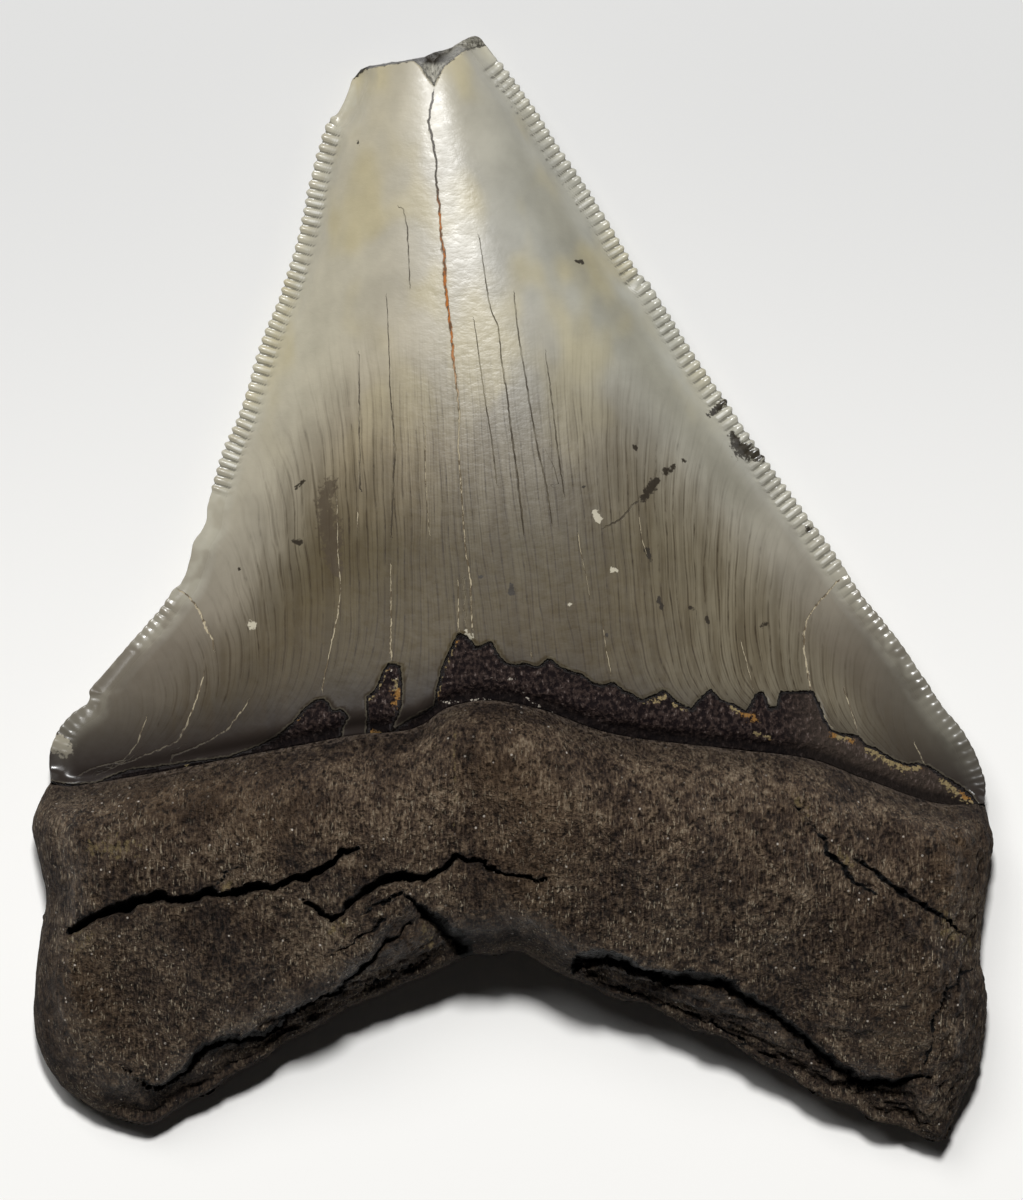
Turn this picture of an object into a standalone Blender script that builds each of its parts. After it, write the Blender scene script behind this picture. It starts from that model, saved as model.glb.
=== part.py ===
"""A fossil shark tooth, one grown piece, lying on its flat labial face with the lingual face up.

X runs across the tooth, Y from the root lobes to the broken tip, and Z up from the surface
that it rests on. The origin is under the middle of the tooth. Lengths are millimetres until
the mesh is made, where MM turns them to metres.

The tooth is a plate with a measured outline. Its two faces are heights over that outline:
the crown is a lens between two cutting edges, the root a thick slab with rounded sides, and
cracks and ledges are cut into the slab by their distance from a few traced lines.
"""

import bmesh
import bpy
import numpy as np
from mathutils import Vector
from mathutils.geometry import delaunay_2d_cdt

MM = 0.001

# Driving dimensions, in millimetres
ROOT_BOSS = 5.4           # how far the root stands above the crown's own base
CROWN_BASE_THICKNESS = 14.7
CROWN_TIP_THICKNESS = 7.3
EDGE_SMOOTHING = 3.0      # spread of the bell that smooths the edges for the crown's section
TIP_LIFT = 0.7            # the crown's tip curves this far off the table
SERRATION_PITCH = 0.93
SERRATION_HEIGHT = 0.34
RIM_HALF = 0.14           # half the thickness of the blunt rim
ENAMEL_STEP = 0.45        # thickness of the enamel where its lower edge has flaked
NECK_GROOVE_DEPTH = 0.9   # furrow between the dark band and the root

# Widest level of the root's rounded sides: (x, height) along the base, (y, height) up the sides
BASE_RIM_LEVELS = (
    (-48.0, 2.6), (-40.0, 2.4), (-34.0, 2.6), (-26.0, 3.6), (-16.0, 3.4), (-8.0, 5.4),
    (0.0, 6.6), (6.0, 6.2), (13.0, 4.6), (19.0, 4.2), (27.0, 5.0), (34.0, 5.0), (39.0, 3.6),
    (44.0, 2.6), (48.0, 2.6),
)
SIDE_RIM_LEVELS = ((-56.0, 2.4), (-50.0, 2.6), (-42.0, 3.4), (-32.0, 4.2), (-20.0, 4.4))

# Mesh spacing, in millimetres
ROOT_RIM_STEP = 1.5
LINE_STEP = 0.9
TOP_GRID_STEP = 2.6
UNDER_GRID_STEP = 6.0
RIM_RINGS = (0.9, 2.2, 4.0)
UNDER_RINGS = (1.3, 3.4)
SERRATION_ROOT_RING = 1.2

# Outline, counter-clockwise seen from above, in four runs that meet at the corners
RIGHT_EDGE = [
    (47.3, -21.5), (47.2, -18.9), (45.4, -14.8), (42.7, -11.3), (38.9, -5.6), (35.3, -1.1),
    (33.8, 1.0), (33.2, 2.1), (28.8, 8.1), (25.3, 12.9), (21.3, 18.8), (18.0, 23.6),
    (13.8, 30.3), (12.4, 31.9), (8.5, 38.4), (4.6, 44.2), (1.6, 48.9), (-2.7, 54.5),
]
TIP_BREAK = [
    (-2.7, 54.5), (-3.2, 55.2), (-3.9, 55.4), (-4.9, 55.0), (-5.9, 54.4), (-7.5, 53.9),
    (-9.0, 53.3), (-10.9, 52.8), (-14.5, 52.3), (-16.0, 51.1),
]
LEFT_EDGE = [
    (-16.0, 51.1), (-16.7, 49.2), (-17.4, 47.8), (-18.6, 46.4), (-20.1, 41.1), (-21.4, 35.3),
    (-23.1, 29.7), (-25.0, 24.9), (-27.1, 18.1), (-29.0, 13.4), (-29.9, 10.5), (-30.5, 8.4),
    (-30.7, 6.6), (-31.9, 4.6), (-32.2, 3.0), (-33.1, 0.6), (-34.0, -0.2), (-35.2, -1.9),
    (-36.6, -3.6), (-39.3, -6.6), (-41.2, -8.9), (-42.3, -10.2), (-42.4, -11.3),
    (-44.1, -12.6), (-45.5, -14.3), (-46.3, -16.6), (-46.2, -19.3),
]
ROOT_OUTLINE = [
    (-46.2, -19.3), (-47.3, -21.2), (-48.1, -23.8), (-47.5, -26.6), (-46.7, -30.6),
    (-47.1, -33.4), (-47.8, -38.5), (-47.9, -43.5), (-47.0, -47.0), (-45.2, -49.8),
    (-42.6, -51.7), (-39.9, -53.0), (-37.2, -53.7), (-35.6, -53.4), (-32.7, -51.5),
    (-30.4, -50.5), (-27.8, -48.6), (-24.7, -46.9), (-22.8, -45.2), (-20.3, -44.2),
    (-16.8, -42.1), (-12.3, -40.1), (-8.1, -38.3), (-4.2, -36.7), (-1.3, -36.6),
    (-0.2, -36.1), (1.4, -36.5), (4.4, -38.3), (8.1, -39.8), (11.2, -41.2), (13.6, -41.6),
    (18.2, -44.1), (21.3, -45.0), (24.6, -47.2), (27.3, -48.5), (30.4, -50.5),
    (34.4, -51.9), (35.9, -53.2), (38.9, -53.9), (41.6, -55.2), (43.1, -55.4),
    (43.7, -54.5), (44.7, -51.9), (46.6, -47.8), (47.4, -43.0), (47.3, -39.4),
    (46.8, -36.9), (47.2, -31.5), (47.7, -28.0), (48.1, -25.6), (47.7, -23.5), (47.3, -21.5),
]
LEFT_SERRATIONS_END = 43.5   # millimetres down the left edge, where the edge is chipped smooth
LEFT_SERRATIONS_START = 4.0
RIGHT_SERRATIONS_END = 86.0  # millimetres up the right edge, just short of the broken tip

# Where the root's upper rim meets the dark band, left to right
NECK_LINE = [
    (-48.2, -20.6), (-44.2, -19.7), (-38.1, -18.8), (-25.0, -16.3), (-16.0, -14.6),
    (-9.9, -13.9), (-6.4, -11.8), (-2.2, -11.1), (2.8, -12.0), (9.8, -14.4), (17.5, -15.5),
    (29.3, -16.9), (35.2, -19.0), (42.3, -21.4), (48.2, -23.8),
]
# Lower edge of the enamel on the lingual face, left to right, with its flaked notches
ENAMEL_LINE = [
    (-48.2, -19.0), (-44.0, -19.0), (-38.0, -18.0), (-30.0, -17.0), (-25.0, -16.0),
    (-23.8, -14.9), (-21.3, -13.0), (-19.6, -11.4), (-17.5, -11.4), (-16.3, -13.0),
    (-15.0, -14.4), (-14.2, -12.0), (-13.2, -9.3), (-12.1, -7.2), (-11.2, -7.6),
    (-11.1, -11.4), (-12.0, -13.2), (-10.8, -13.9), (-8.5, -12.7), (-7.6, -11.2),
    (-6.5, -6.8), (-5.4, -4.8), (-3.6, -5.8), (-2.3, -5.2), (-1.0, -7.0), (1.2, -7.4),
    (2.5, -7.8), (3.7, -6.9), (5.7, -8.2), (8.1, -9.4), (10.2, -9.3), (12.9, -11.1),
    (15.1, -10.0), (17.8, -12.0), (19.7, -10.0), (23.3, -12.2), (24.4, -10.4),
    (25.7, -11.9), (26.8, -10.3), (30.0, -10.2), (31.2, -13.0), (32.1, -14.4),
    (34.6, -14.8), (37.3, -16.7), (40.6, -17.4), (44.8, -19.7), (48.2, -22.5),
]


class Fissure:
    """A traced crack: its line, its half width at each point, how deep, and how far one side drops.

    The dropped side is on the right of the line as it runs.
    """

    def __init__(self, name, line, half_widths, depth, drop=0.0):
        self.name = name
        self.line = np.array(line, float)
        self.half_widths = np.array(half_widths, float)
        self.depth = depth
        self.drop = drop


FISSURES = [
    Fissure(
        "left split",
        [(-44.3, -34.2), (-42.2, -33.0), (-38.4, -31.7), (-35.3, -31.0), (-32.3, -31.1),
         (-29.8, -30.1), (-27.3, -30.3), (-23.0, -29.5), (-20.6, -28.7), (-18.2, -27.5),
         (-16.8, -26.2), (-15.4, -25.7)],
        [0.35, 0.6, 0.7, 0.75, 0.65, 0.45, 0.5, 0.6, 0.5, 0.35, 0.25, 0.15],
        depth=3.2,
    ),
    Fissure(
        "middle split",
        [(-21.2, -30.7), (-19.4, -31.9), (-18.0, -32.9), (-17.0, -32.4), (-15.0, -30.2),
         (-12.0, -29.0), (-8.8, -29.0), (-7.0, -27.6), (-5.9, -26.2), (-3.5, -26.9),
         (-1.3, -28.0), (1.5, -28.8), (3.2, -29.0)],
        [0.15, 0.3, 0.4, 0.4, 0.5, 0.6, 0.5, 0.35, 0.25, 0.25, 0.25, 0.2, 0.15],
        depth=2.6,
        drop=0.5,
    ),
    Fissure(
        "left ledge",
        [(-39.2, -47.7), (-36.6, -49.7), (-35.0, -49.5), (-32.1, -47.6), (-30.6, -45.6),
         (-27.2, -44.8), (-24.6, -44.6), (-22.6, -42.6), (-19.6, -41.2), (-17.8, -40.1),
         (-15.3, -38.0), (-13.4, -36.2), (-11.4, -34.6), (-9.8, -32.9)],
        [0.15, 0.3, 0.35, 0.45, 0.5, 0.55, 0.45, 0.4, 0.35, 0.35, 0.35, 0.35, 0.35, 0.3],
        depth=1.4,
        drop=2.4,
    ),
    Fissure(
        "arch notch",
        [(-10.6, -30.2), (-9.1, -31.7), (-7.6, -32.9), (-6.2, -34.4), (-5.0, -35.6), (-3.9, -37.0)],
        [0.2, 0.4, 0.55, 0.6, 0.6, 0.6],
        depth=1.6,
        drop=2.6,
    ),
    Fissure(
        "right ledge",
        [(6.0, -38.3), (6.9, -37.3), (8.2, -36.8), (11.5, -37.4), (15.0, -38.5), (20.1, -39.0),
         (23.3, -40.3), (25.8, -42.1), (28.8, -44.4), (32.5, -47.9), (35.4, -49.4),
         (39.3, -49.0), (42.0, -48.8)],
        [0.4, 0.6, 0.8, 0.6, 0.6, 0.65, 0.5, 0.5, 0.5, 0.6, 0.55, 0.4, 0.2],
        depth=2.2,
        drop=2.4,
    ),
    Fissure(
        "right corner step",
        [(46.0, -37.8), (43.4, -40.0), (42.0, -42.3), (41.8, -45.4), (41.1, -47.6)],
        [0.3, 0.35, 0.35, 0.3, 0.3],
        depth=0.4,
        drop=-0.8,
    ),
    Fissure(
        "right split",
        [(33.8, -26.6), (37.3, -29.4), (40.6, -31.3), (43.7, -33.4), (45.3, -35.0)],
        [0.15, 0.35, 0.4, 0.35, 0.2],
        depth=1.4,
    ),
    Fissure(
        "right twin split",
        [(30.2, -24.2), (31.4, -26.1), (34.0, -29.1), (36.6, -30.8)],
        [0.15, 0.3, 0.3, 0.15],
        depth=1.0,
    ),
    Fissure(
        "crown crack",
        [(-8.0, 50.6), (-8.5, 46.7), (-7.7, 41.0), (-6.9, 31.3), (-5.9, 23.0), (-5.4, 15.5),
         (-5.0, 6.7), (-4.1, -4.2)],
        [0.3, 0.25, 0.25, 0.25, 0.25, 0.2, 0.2, 0.2],
        depth=0.45,
    ),
    Fissure(
        "left crown arc",
        [(-33.3, 0.0), (-31.8, -1.6), (-30.6, -4.2), (-29.8, -6.3)],
        [0.25, 0.25, 0.25, 0.2],
        depth=0.3,
    ),
    Fissure(
        "right crown arc",
        [(33.0, 1.4), (31.0, -1.1), (29.3, -3.9), (29.2, -7.5), (30.4, -11.0), (31.9, -14.2)],
        [0.25, 0.25, 0.25, 0.25, 0.25, 0.25],
        depth=0.35,
    ),
]

# The flat rest on the labial face, a rounded triangle of corners, counter-clockwise from above
REST_FACE = [
    (-34.0, -40.0), (-27.0, -41.5), (0.0, -31.0), (27.0, -42.0), (36.0, -41.5), (38.0, -28.0),
    (30.0, -10.0), (11.0, 24.0), (3.0, 34.0), (-9.0, 34.0), (-15.0, 24.0), (-29.0, -8.0),
    (-38.0, -27.0),
]


def smoothstep(low, high, value):
    """0 below low, 1 above high, and an S-shaped rise between them."""
    share = np.clip((value - low) / (high - low), 0.0, 1.0)
    return share * share * (3.0 - 2.0 * share)


def smooth_curve(points, step):
    """Points about step apart on a smooth curve through the given ones (a Catmull-Rom spline)."""
    knots = np.array(points, float)
    padded = np.vstack([2 * knots[0] - knots[1], knots, 2 * knots[-1] - knots[-2]])
    pieces = []
    for before, start, end, after in zip(padded, padded[1:], padded[2:], padded[3:]):
        count = max(2, int(np.ceil(np.linalg.norm(end - start) / 0.2)))
        share = np.linspace(0.0, 1.0, count, endpoint=False)[:, None]
        pieces.append(
            start
            + 0.5 * share * (end - before)
            + share**2 * (before - 2.5 * start + 2 * end - 0.5 * after)
            + share**3 * (1.5 * (start - end) + 0.5 * (after - before))
        )
    fine = np.vstack(pieces + [knots[-1:]])
    along = np.concatenate([[0.0], np.cumsum(np.linalg.norm(np.diff(fine, axis=0), axis=1))])
    places = np.linspace(0.0, along[-1], max(2, int(round(along[-1] / step)) + 1))
    return np.stack([np.interp(places, along, fine[:, axis]) for axis in (0, 1)], axis=1)


def right_normals(line):
    """Unit normals that point to the right of a line as it runs."""
    forward = np.gradient(line, axis=0)
    normal = np.stack([forward[:, 1], -forward[:, 0]], axis=1)
    return normal / np.linalg.norm(normal, axis=1, keepdims=True)


def serrated(points, start, end, height):
    """An edge with a tooth every SERRATION_PITCH between two distances along it.

    The curve's points alternate outwards and inwards, half a pitch apart.
    """
    line = smooth_curve(points, SERRATION_PITCH / 2)
    along = np.arange(len(line)) * SERRATION_PITCH / 2
    inside = smoothstep(start - 1.5, start, along) * (1 - smoothstep(end, end + 1.5, along))
    swing = np.where(np.arange(len(line)) % 2 == 0, 0.5, -0.5)
    swing[[0, -1]] = 0.0
    return line + right_normals(line) * (swing * inside * height)[:, None]


def outline():
    """The rim, counter-clockwise, and for each of its points whether it lies on the broken tip."""
    runs = [
        serrated(RIGHT_EDGE, 1.0, RIGHT_SERRATIONS_END, SERRATION_HEIGHT),
        smooth_curve(TIP_BREAK, 1.0),
        serrated(LEFT_EDGE, LEFT_SERRATIONS_START, LEFT_SERRATIONS_END, SERRATION_HEIGHT),
        smooth_curve(ROOT_OUTLINE, ROOT_RIM_STEP),
    ]
    broken = [np.full(len(run) - 1, index == 1) for index, run in enumerate(runs)]
    return np.vstack([run[:-1] for run in runs]), np.concatenate(broken)


RIM, RIM_IS_BROKEN = outline()


def nearest_on_line(points, line):
    """For each point: its distance to a polyline, the side it is on, and the place along it.

    The side is +1 on the right of the line; the place counts segments, as in 2.5.
    """
    start, span = line[:-1], np.diff(line, axis=0)
    to_point = points[:, None, :] - start[None]
    share = np.clip((to_point * span).sum(2) / (span**2).sum(1), 0.0, 1.0)
    gap = to_point - share[..., None] * span
    distance = np.linalg.norm(gap, axis=2)
    best = distance.argmin(axis=1)
    row = np.arange(len(points))
    turn = span[best, 1] * gap[row, best, 0] - span[best, 0] * gap[row, best, 1]
    return distance[row, best], np.where(turn > 0, 1.0, -1.0), best + share[row, best]


def depth_inside(points):
    """Distance of each point from the rim."""
    closed = np.vstack([RIM, RIM[:1]])
    return nearest_on_line(points, closed)[0]


def across(points):
    """Place across the crown: -1 on the left cutting edge, 0 midway, +1 on the right one.

    Both edges are smoothed by a bell-shaped average, so that their small waves don't run
    across the crown, and they go on straight past the broken tip.
    """
    level = np.arange(-30.0, 62.0, 0.5)
    bell = np.exp(-((np.arange(-9.0, 9.5, 0.5) / EDGE_SMOOTHING) ** 2) / 2)
    bell /= bell.sum()
    sides = []
    for edge in (LEFT_EDGE[::-1], RIGHT_EDGE):
        line = np.array(edge)
        slope = (line[-1, 0] - line[-6, 0]) / (line[-1, 1] - line[-6, 1])
        x = np.interp(level, line[:, 1], line[:, 0])
        x += slope * np.maximum(level - line[-1, 1], 0.0)
        x = np.convolve(np.pad(x, 18, mode="edge"), bell, mode="valid")
        sides.append(np.interp(points[:, 1], level, x))
    low, high = sides
    return np.clip((2 * points[:, 0] - low - high) / (high - low), -1.0, 1.0)


def below_neck(points):
    """How far each point lies below the neck line, towards the root; negative on the crown."""
    neck = np.array(NECK_LINE)
    return np.interp(points[:, 0], neck[:, 0], neck[:, 1]) - points[:, 1]


def root_share(points):
    """0 on the crown, 1 on the root, with a short blend under the neck line."""
    return smoothstep(-2.5, 3.0, below_neck(points))


def edge_height(points):
    """Height of the crown's cutting edge above the table."""
    return np.interp(points[:, 1], [-20.0, 0.0, 25.0, 56.0], [4.4, 3.6, 2.9, 2.7])


def root_rim_height(points):
    """Widest level of the root's sides: highest in the arch, low where the lobes end."""
    base = np.interp(points[:, 0], *np.transpose(BASE_RIM_LEVELS))
    side = np.interp(points[:, 1], *np.transpose(SIDE_RIM_LEVELS))
    share = smoothstep(40.0, 46.0, np.abs(points[:, 0]))
    return (1 - share) * base + share * side


def rim_height(points):
    """Height of the rim: the cutting edge on the crown, the root's widest level on the root."""
    share = root_share(points)
    return (1 - share) * edge_height(points) + share * root_rim_height(points)


def lens(position):
    """Crown section from edge to edge: 0 at both edges with hollow flanks, 1 midway."""
    return np.clip(1.0 - np.abs(position) ** 2.6, 0.0, 1.0) ** 1.2


def rounded(inside, radius):
    """Quarter-ellipse rise from the rim to full thickness over the given radius."""
    share = np.clip(inside / radius, 0.0, 1.0)
    return np.sqrt(1.0 - (1.0 - share) ** 2)


def swell(points):
    """Slow natural unevenness of the root, within about 0.5 mm."""
    x, y = points[:, 0], points[:, 1]
    return (
        0.28 * np.sin(0.21 * x + 0.33 * y + 0.6)
        + 0.20 * np.sin(0.47 * x - 0.19 * y + 2.1)
        + 0.12 * np.sin(0.83 * x + 0.71 * y + 4.0)
    )


def crown_lift(points):
    """How far the crown's tip curves off the table."""
    return TIP_LIFT * smoothstep(34.0, 56.0, points[:, 1])


def crown_top(points):
    """Lingual height of the crown: a lens whose ridge falls ever faster towards the tip."""
    up = np.maximum(points[:, 1] + 12.0, 0.0)
    bend = (CROWN_BASE_THICKNESS - CROWN_TIP_THICKNESS - 0.03 * 66.0) / 66.0**3
    ridge = CROWN_BASE_THICKNESS - 0.03 * up - bend * up**3
    edge = edge_height(points)
    return edge + (ridge - edge) * lens(across(points)) + crown_lift(points)


def root_top(points, inside):
    """Lingual height of the root: it climbs from the neck to a boss and falls to the lobes."""
    below = below_neck(points)
    x = points[:, 0]
    neck = np.interp(x, [-48, -36, -18, 0, 18, 36, 48], [7.4, 9.6, 13.4, 15.0, 13.6, 9.8, 7.4])
    slab = neck + ROOT_BOSS * (1 - np.exp(-np.maximum(below, 0.0) / 3.4))
    past = np.maximum(below - 9.0, 0.0)
    slab -= 0.17 * past + 0.006 * (1 - 0.35 * smoothstep(10.0, 30.0, x)) * past**2
    slab += swell(points)
    rim = root_rim_height(points)
    return rim + (slab - rim) * rounded(inside, 5.0)


def fissure_cut(points):
    """How far all the fissures together lower the lingual face."""
    cut = np.zeros(len(points))
    drop = np.zeros(len(points))
    rise = np.zeros(len(points))
    for fissure in FISSURES:
        distance, side, place = nearest_on_line(points, fissure.line)
        knots = np.arange(len(fissure.line))
        width = np.interp(place, knots, fissure.half_widths)
        end = np.minimum(place, len(fissure.line) - 1 - place)
        fade = smoothstep(0.0, 0.6, end)
        cut = np.maximum(cut, fissure.depth * np.clip(1 - distance / width, 0, 1) * fade)
        low_side = smoothstep(-0.5, 1.0, side * distance / width)
        reach = 1 - smoothstep(9.0, 14.0, distance)
        step = fissure.drop * low_side * fade * reach
        drop = np.maximum(drop, step)
        rise = np.minimum(rise, step)
    return cut + drop + rise


def enamel_share(points):
    """1 where enamel covers the lingual face, 0 where it has flaked or never was."""
    line = np.array(ENAMEL_LINE)
    above = points[:, 1] - np.interp(points[:, 0], line[:, 0], line[:, 1])
    return smoothstep(-0.1, 0.25, above)


def top_height(points):
    """Height of the lingual face, the one that is up."""
    inside = depth_inside(points)
    share = root_share(points)
    edge = edge_height(points)
    settled = smoothstep(0.1, 2.7, inside + 2.7 * smoothstep(-2.0, 0.0, below_neck(points)))
    crown = edge + (crown_top(points) - edge) * settled
    height = (1 - share) * crown + share * root_top(points, inside)
    height -= NECK_GROOVE_DEPTH * np.exp(-((below_neck(points) + 0.6) / 0.9) ** 2) * (
        smoothstep(0.0, 3.0, inside)
    )
    height -= ENAMEL_STEP * (1 - enamel_share(points)) * (1 - share) * smoothstep(0.5, 2.0, inside)
    height -= fissure_cut(points) * smoothstep(0.2, 1.4, inside)
    return np.maximum(height, rim_height(points) + RIM_HALF)


def under_height(points):
    """Height of the labial face: flat where the tooth rests, curling up to the rim all round."""
    inside = depth_inside(points)
    share = root_share(points)
    crown = edge_height(points) * np.abs(across(points)) ** 3.2 + crown_lift(points)
    root = root_rim_height(points) * (1 - rounded(inside, 6.5))
    arch = 1.5 * np.exp(-((points[:, 0] - 1.0) / 9.0) ** 2) * smoothstep(30.0, 38.0, -points[:, 1])
    height = (1 - share) * crown + share * (root + arch)
    return np.clip(height, 0.0, rim_height(points) - RIM_HALF)


def inside_polygon(points, corners):
    """Whether each point lies inside a closed polygon, by counting edge crossings."""
    x, y = points[:, 0:1], points[:, 1:2]
    ends = np.roll(corners, -1, axis=0)
    crosses = (corners[:, 1] > y) != (ends[:, 1] > y)
    rise = np.where(ends[:, 1] == corners[:, 1], 1.0, ends[:, 1] - corners[:, 1])
    at = corners[:, 0] + (y - corners[:, 1]) / rise * (ends[:, 0] - corners[:, 0])
    return (crosses & (x < at)).sum(axis=1) % 2 == 1


def thinned(points, kept, gap):
    """The points that stay at least gap from every kept one and from each other, in order."""
    chosen = [np.asarray(p) for p in kept]
    result = []
    for point in points:
        near = np.array(chosen) - point
        if (near**2).sum(axis=1).min() >= gap * gap:
            chosen.append(point)
            result.append(point)
    return np.array(result).reshape(-1, 2)


def ring(offset, step):
    """Points about step apart on a curve that runs offset inside the rim."""
    closed = np.vstack([RIM, RIM[:1]])
    line = smooth_curve(closed[::2], step)
    inner = line - right_normals(line) * offset
    fits = inside_polygon(inner, RIM) & (depth_inside(inner) > 0.85 * offset)
    return inner[fits]


def staggered_grid(step):
    """Rows of points over the whole outline, each row shifted by half a step."""
    low, high = RIM.min(axis=0), RIM.max(axis=0)
    rows = []
    for index, y in enumerate(np.arange(low[1], high[1], step * 0.87)):
        x = np.arange(low[0] + (index % 2) * step / 2, high[0], step)
        rows.append(np.stack([x, np.full_like(x, y)], axis=1))
    grid = np.vstack(rows)
    grid += 0.12 * step * np.sin(np.stack([grid[:, 1] * 1.7, grid[:, 0] * 1.3], axis=1))
    return grid[inside_polygon(grid, RIM)]


def fissure_points():
    """Three rows of points along each fissure: its high lip, its floor and its low lip."""
    rows = []
    for fissure in FISSURES:
        fine = smooth_curve(fissure.line, LINE_STEP)
        place = nearest_on_line(fine, fissure.line)[2]
        width = np.interp(place, np.arange(len(fissure.line)), fissure.half_widths)[:, None]
        side = right_normals(fine)
        rows += [fine, fine - side * width, fine + side * width]
    return np.vstack(rows)


def enamel_lip_points():
    """Two rows of points that hold the step at the enamel's lower edge."""
    line = np.array(ENAMEL_LINE)
    dense = [
        np.linspace(start, end, max(2, int(np.ceil(np.linalg.norm(end - start) / 1.6))), endpoint=False)
        for start, end in zip(line, line[1:])
    ]
    row = np.vstack(dense)
    shift = np.array([0.0, 0.35])
    return np.vstack([row + shift, row - shift * 0.4])


def neck_points():
    """Rows of points on the floor and both banks of the furrow at the neck."""
    line = smooth_curve(NECK_LINE, 1.6)
    return np.vstack([line + np.array([0.0, shift]) for shift in (0.6, -0.5, 1.7)])


def top_points():
    """The inner points of the lingual face, the finest features first."""
    features = np.vstack([fissure_points(), enamel_lip_points()])
    fits = inside_polygon(features, RIM)
    fits[fits] = depth_inside(features[fits]) > 0.35
    features = thinned(features[fits], RIM, 0.18)
    kept = np.vstack([RIM, features])
    serration_roots = ring(SERRATION_ROOT_RING, SERRATION_PITCH * 1.4)
    serration_roots = serration_roots[below_neck(serration_roots) < 0]
    kept = np.vstack([kept, thinned(serration_roots, kept, 0.6)])
    others = [neck_points()] + [ring(offset, 1.2 + 0.45 * offset) for offset in RIM_RINGS]
    others.append(staggered_grid(TOP_GRID_STEP))
    for group, gap in zip(others, (0.7, 0.7, 1.2, 1.6, 1.7)):
        group = group[inside_polygon(group, RIM)]
        kept = np.vstack([kept, thinned(group, kept, gap)])
    return kept[len(RIM):]


def under_points():
    """The inner points of the labial face: rings near the rim, and the corners of the flat rest."""
    rest = smooth_curve(REST_FACE + REST_FACE[:1], 4.0)[:-1]
    kept = np.vstack([RIM, rest])
    others = [ring(offset, 1.6 + 0.5 * offset) for offset in UNDER_RINGS]
    others.append(staggered_grid(UNDER_GRID_STEP))
    for group, gap in zip(others, (1.0, 1.9, 3.4)):
        group = group[~inside_polygon(group, rest)]
        kept = np.vstack([kept, thinned(group, kept, gap)])
    return kept[len(RIM):], rest


def triangulated(inner):
    """Triangles over the rim and the inner points, which they all use; indices count the rim first."""
    points = np.vstack([RIM, inner])
    loop = list(range(len(RIM)))
    result = delaunay_2d_cdt([Vector(p) for p in points], [], [loop], 1, 1e-5)
    sources = result[3]
    return [[sources[corner][0] for corner in face] for face in result[2]]


def rim_levels():
    """Upper and lower heights of the rim: a thin blunt edge, and the full break at the tip."""
    middle = rim_height(RIM)
    break_top = crown_top(RIM) - 0.3
    break_foot = under_height(RIM) + 0.4
    upper = np.where(RIM_IS_BROKEN, np.maximum(break_top, middle + RIM_HALF), middle + RIM_HALF)
    lower = np.where(RIM_IS_BROKEN, np.minimum(break_foot, middle - RIM_HALF), middle - RIM_HALF)
    return upper, lower


def tooth_mesh():
    """The closed surface: the lingual and labial faces and the narrow band between their rims."""
    over = top_points()
    under, rest = under_points()
    under_z = under_height(under)
    under_z[inside_polygon(under, rest * 1.001)] = 0.0
    under_z[: len(rest)] = 0.0
    upper, lower = rim_levels()
    corners = np.vstack(
        [
            np.column_stack([RIM, upper]),
            np.column_stack([over, top_height(over)]),
            np.column_stack([RIM, lower]),
            np.column_stack([under, under_z]),
        ]
    )
    body = bmesh.new()
    made = [body.verts.new(Vector(corner) * MM) for corner in corners]
    shift = len(RIM) + len(over)
    for face in triangulated(over):
        body.faces.new([made[corner] for corner in face])
    for face in triangulated(under):
        body.faces.new([made[corner + shift] for corner in reversed(face)])
    for start in range(len(RIM)):
        end = (start + 1) % len(RIM)
        body.faces.new([made[start], made[start + shift], made[end + shift]])
        body.faces.new([made[start], made[end + shift], made[end]])
    bmesh.ops.recalc_face_normals(body, faces=body.faces)
    mesh = bpy.data.meshes.new("tooth")
    body.to_mesh(mesh)
    body.free()
    return mesh


def material(name, colour, roughness):
    """A plain Principled material; the colour is linear RGB."""
    made = bpy.data.materials.new(name)
    made.use_nodes = True
    shader = made.node_tree.nodes["Principled BSDF"]
    shader.inputs["Base Color"].default_value = (*colour, 1.0)
    shader.inputs["Roughness"].default_value = roughness
    shader.inputs["Metallic"].default_value = 0.0
    return made


def dress(mesh):
    """Gives each face the enamel, the dark neck band or the root, by where its middle lies."""
    mesh.materials.append(material("grey enamel", (0.40, 0.38, 0.32), 0.30))
    mesh.materials.append(material("dark neck band", (0.020, 0.016, 0.016), 0.65))
    mesh.materials.append(material("brown fossil root", (0.060, 0.046, 0.034), 0.80))
    middles = np.array([polygon.center[:2] for polygon in mesh.polygons]) / MM
    is_root = below_neck(middles) > 0
    is_band = ~is_root & (enamel_share(middles) < 0.5)
    slots = np.where(is_root, 2, np.where(is_band, 1, 0)).astype(np.int32)
    mesh.polygons.foreach_set("material_index", slots)


def build():
    """Clears the scene and makes the tooth, its one object."""
    for leftover in list(bpy.data.objects):
        bpy.data.objects.remove(leftover)
    mesh = tooth_mesh()
    dress(mesh)
    mesh.shade_smooth()
    mesh.set_sharp_from_angle(angle=0.7)
    tooth = bpy.data.objects.new("tooth", mesh)
    bpy.context.scene.collection.objects.link(tooth)


build()
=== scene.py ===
"""Looks of a fossil shark tooth that lies on its labial face and shows its lingual one.

Lengths are millimetres until a mesh is made. X runs across the tooth, Y from the root lobes to
the broken tip, Z up. Two closed pieces stand for the one solid: the crown, with its enamel and
the dark neck band where the enamel has flaked, and the root. They meet in the neck furrow.
"""

import itertools
import logging
from dataclasses import dataclass
from enum import Enum
from typing import Any, Sequence

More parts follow.
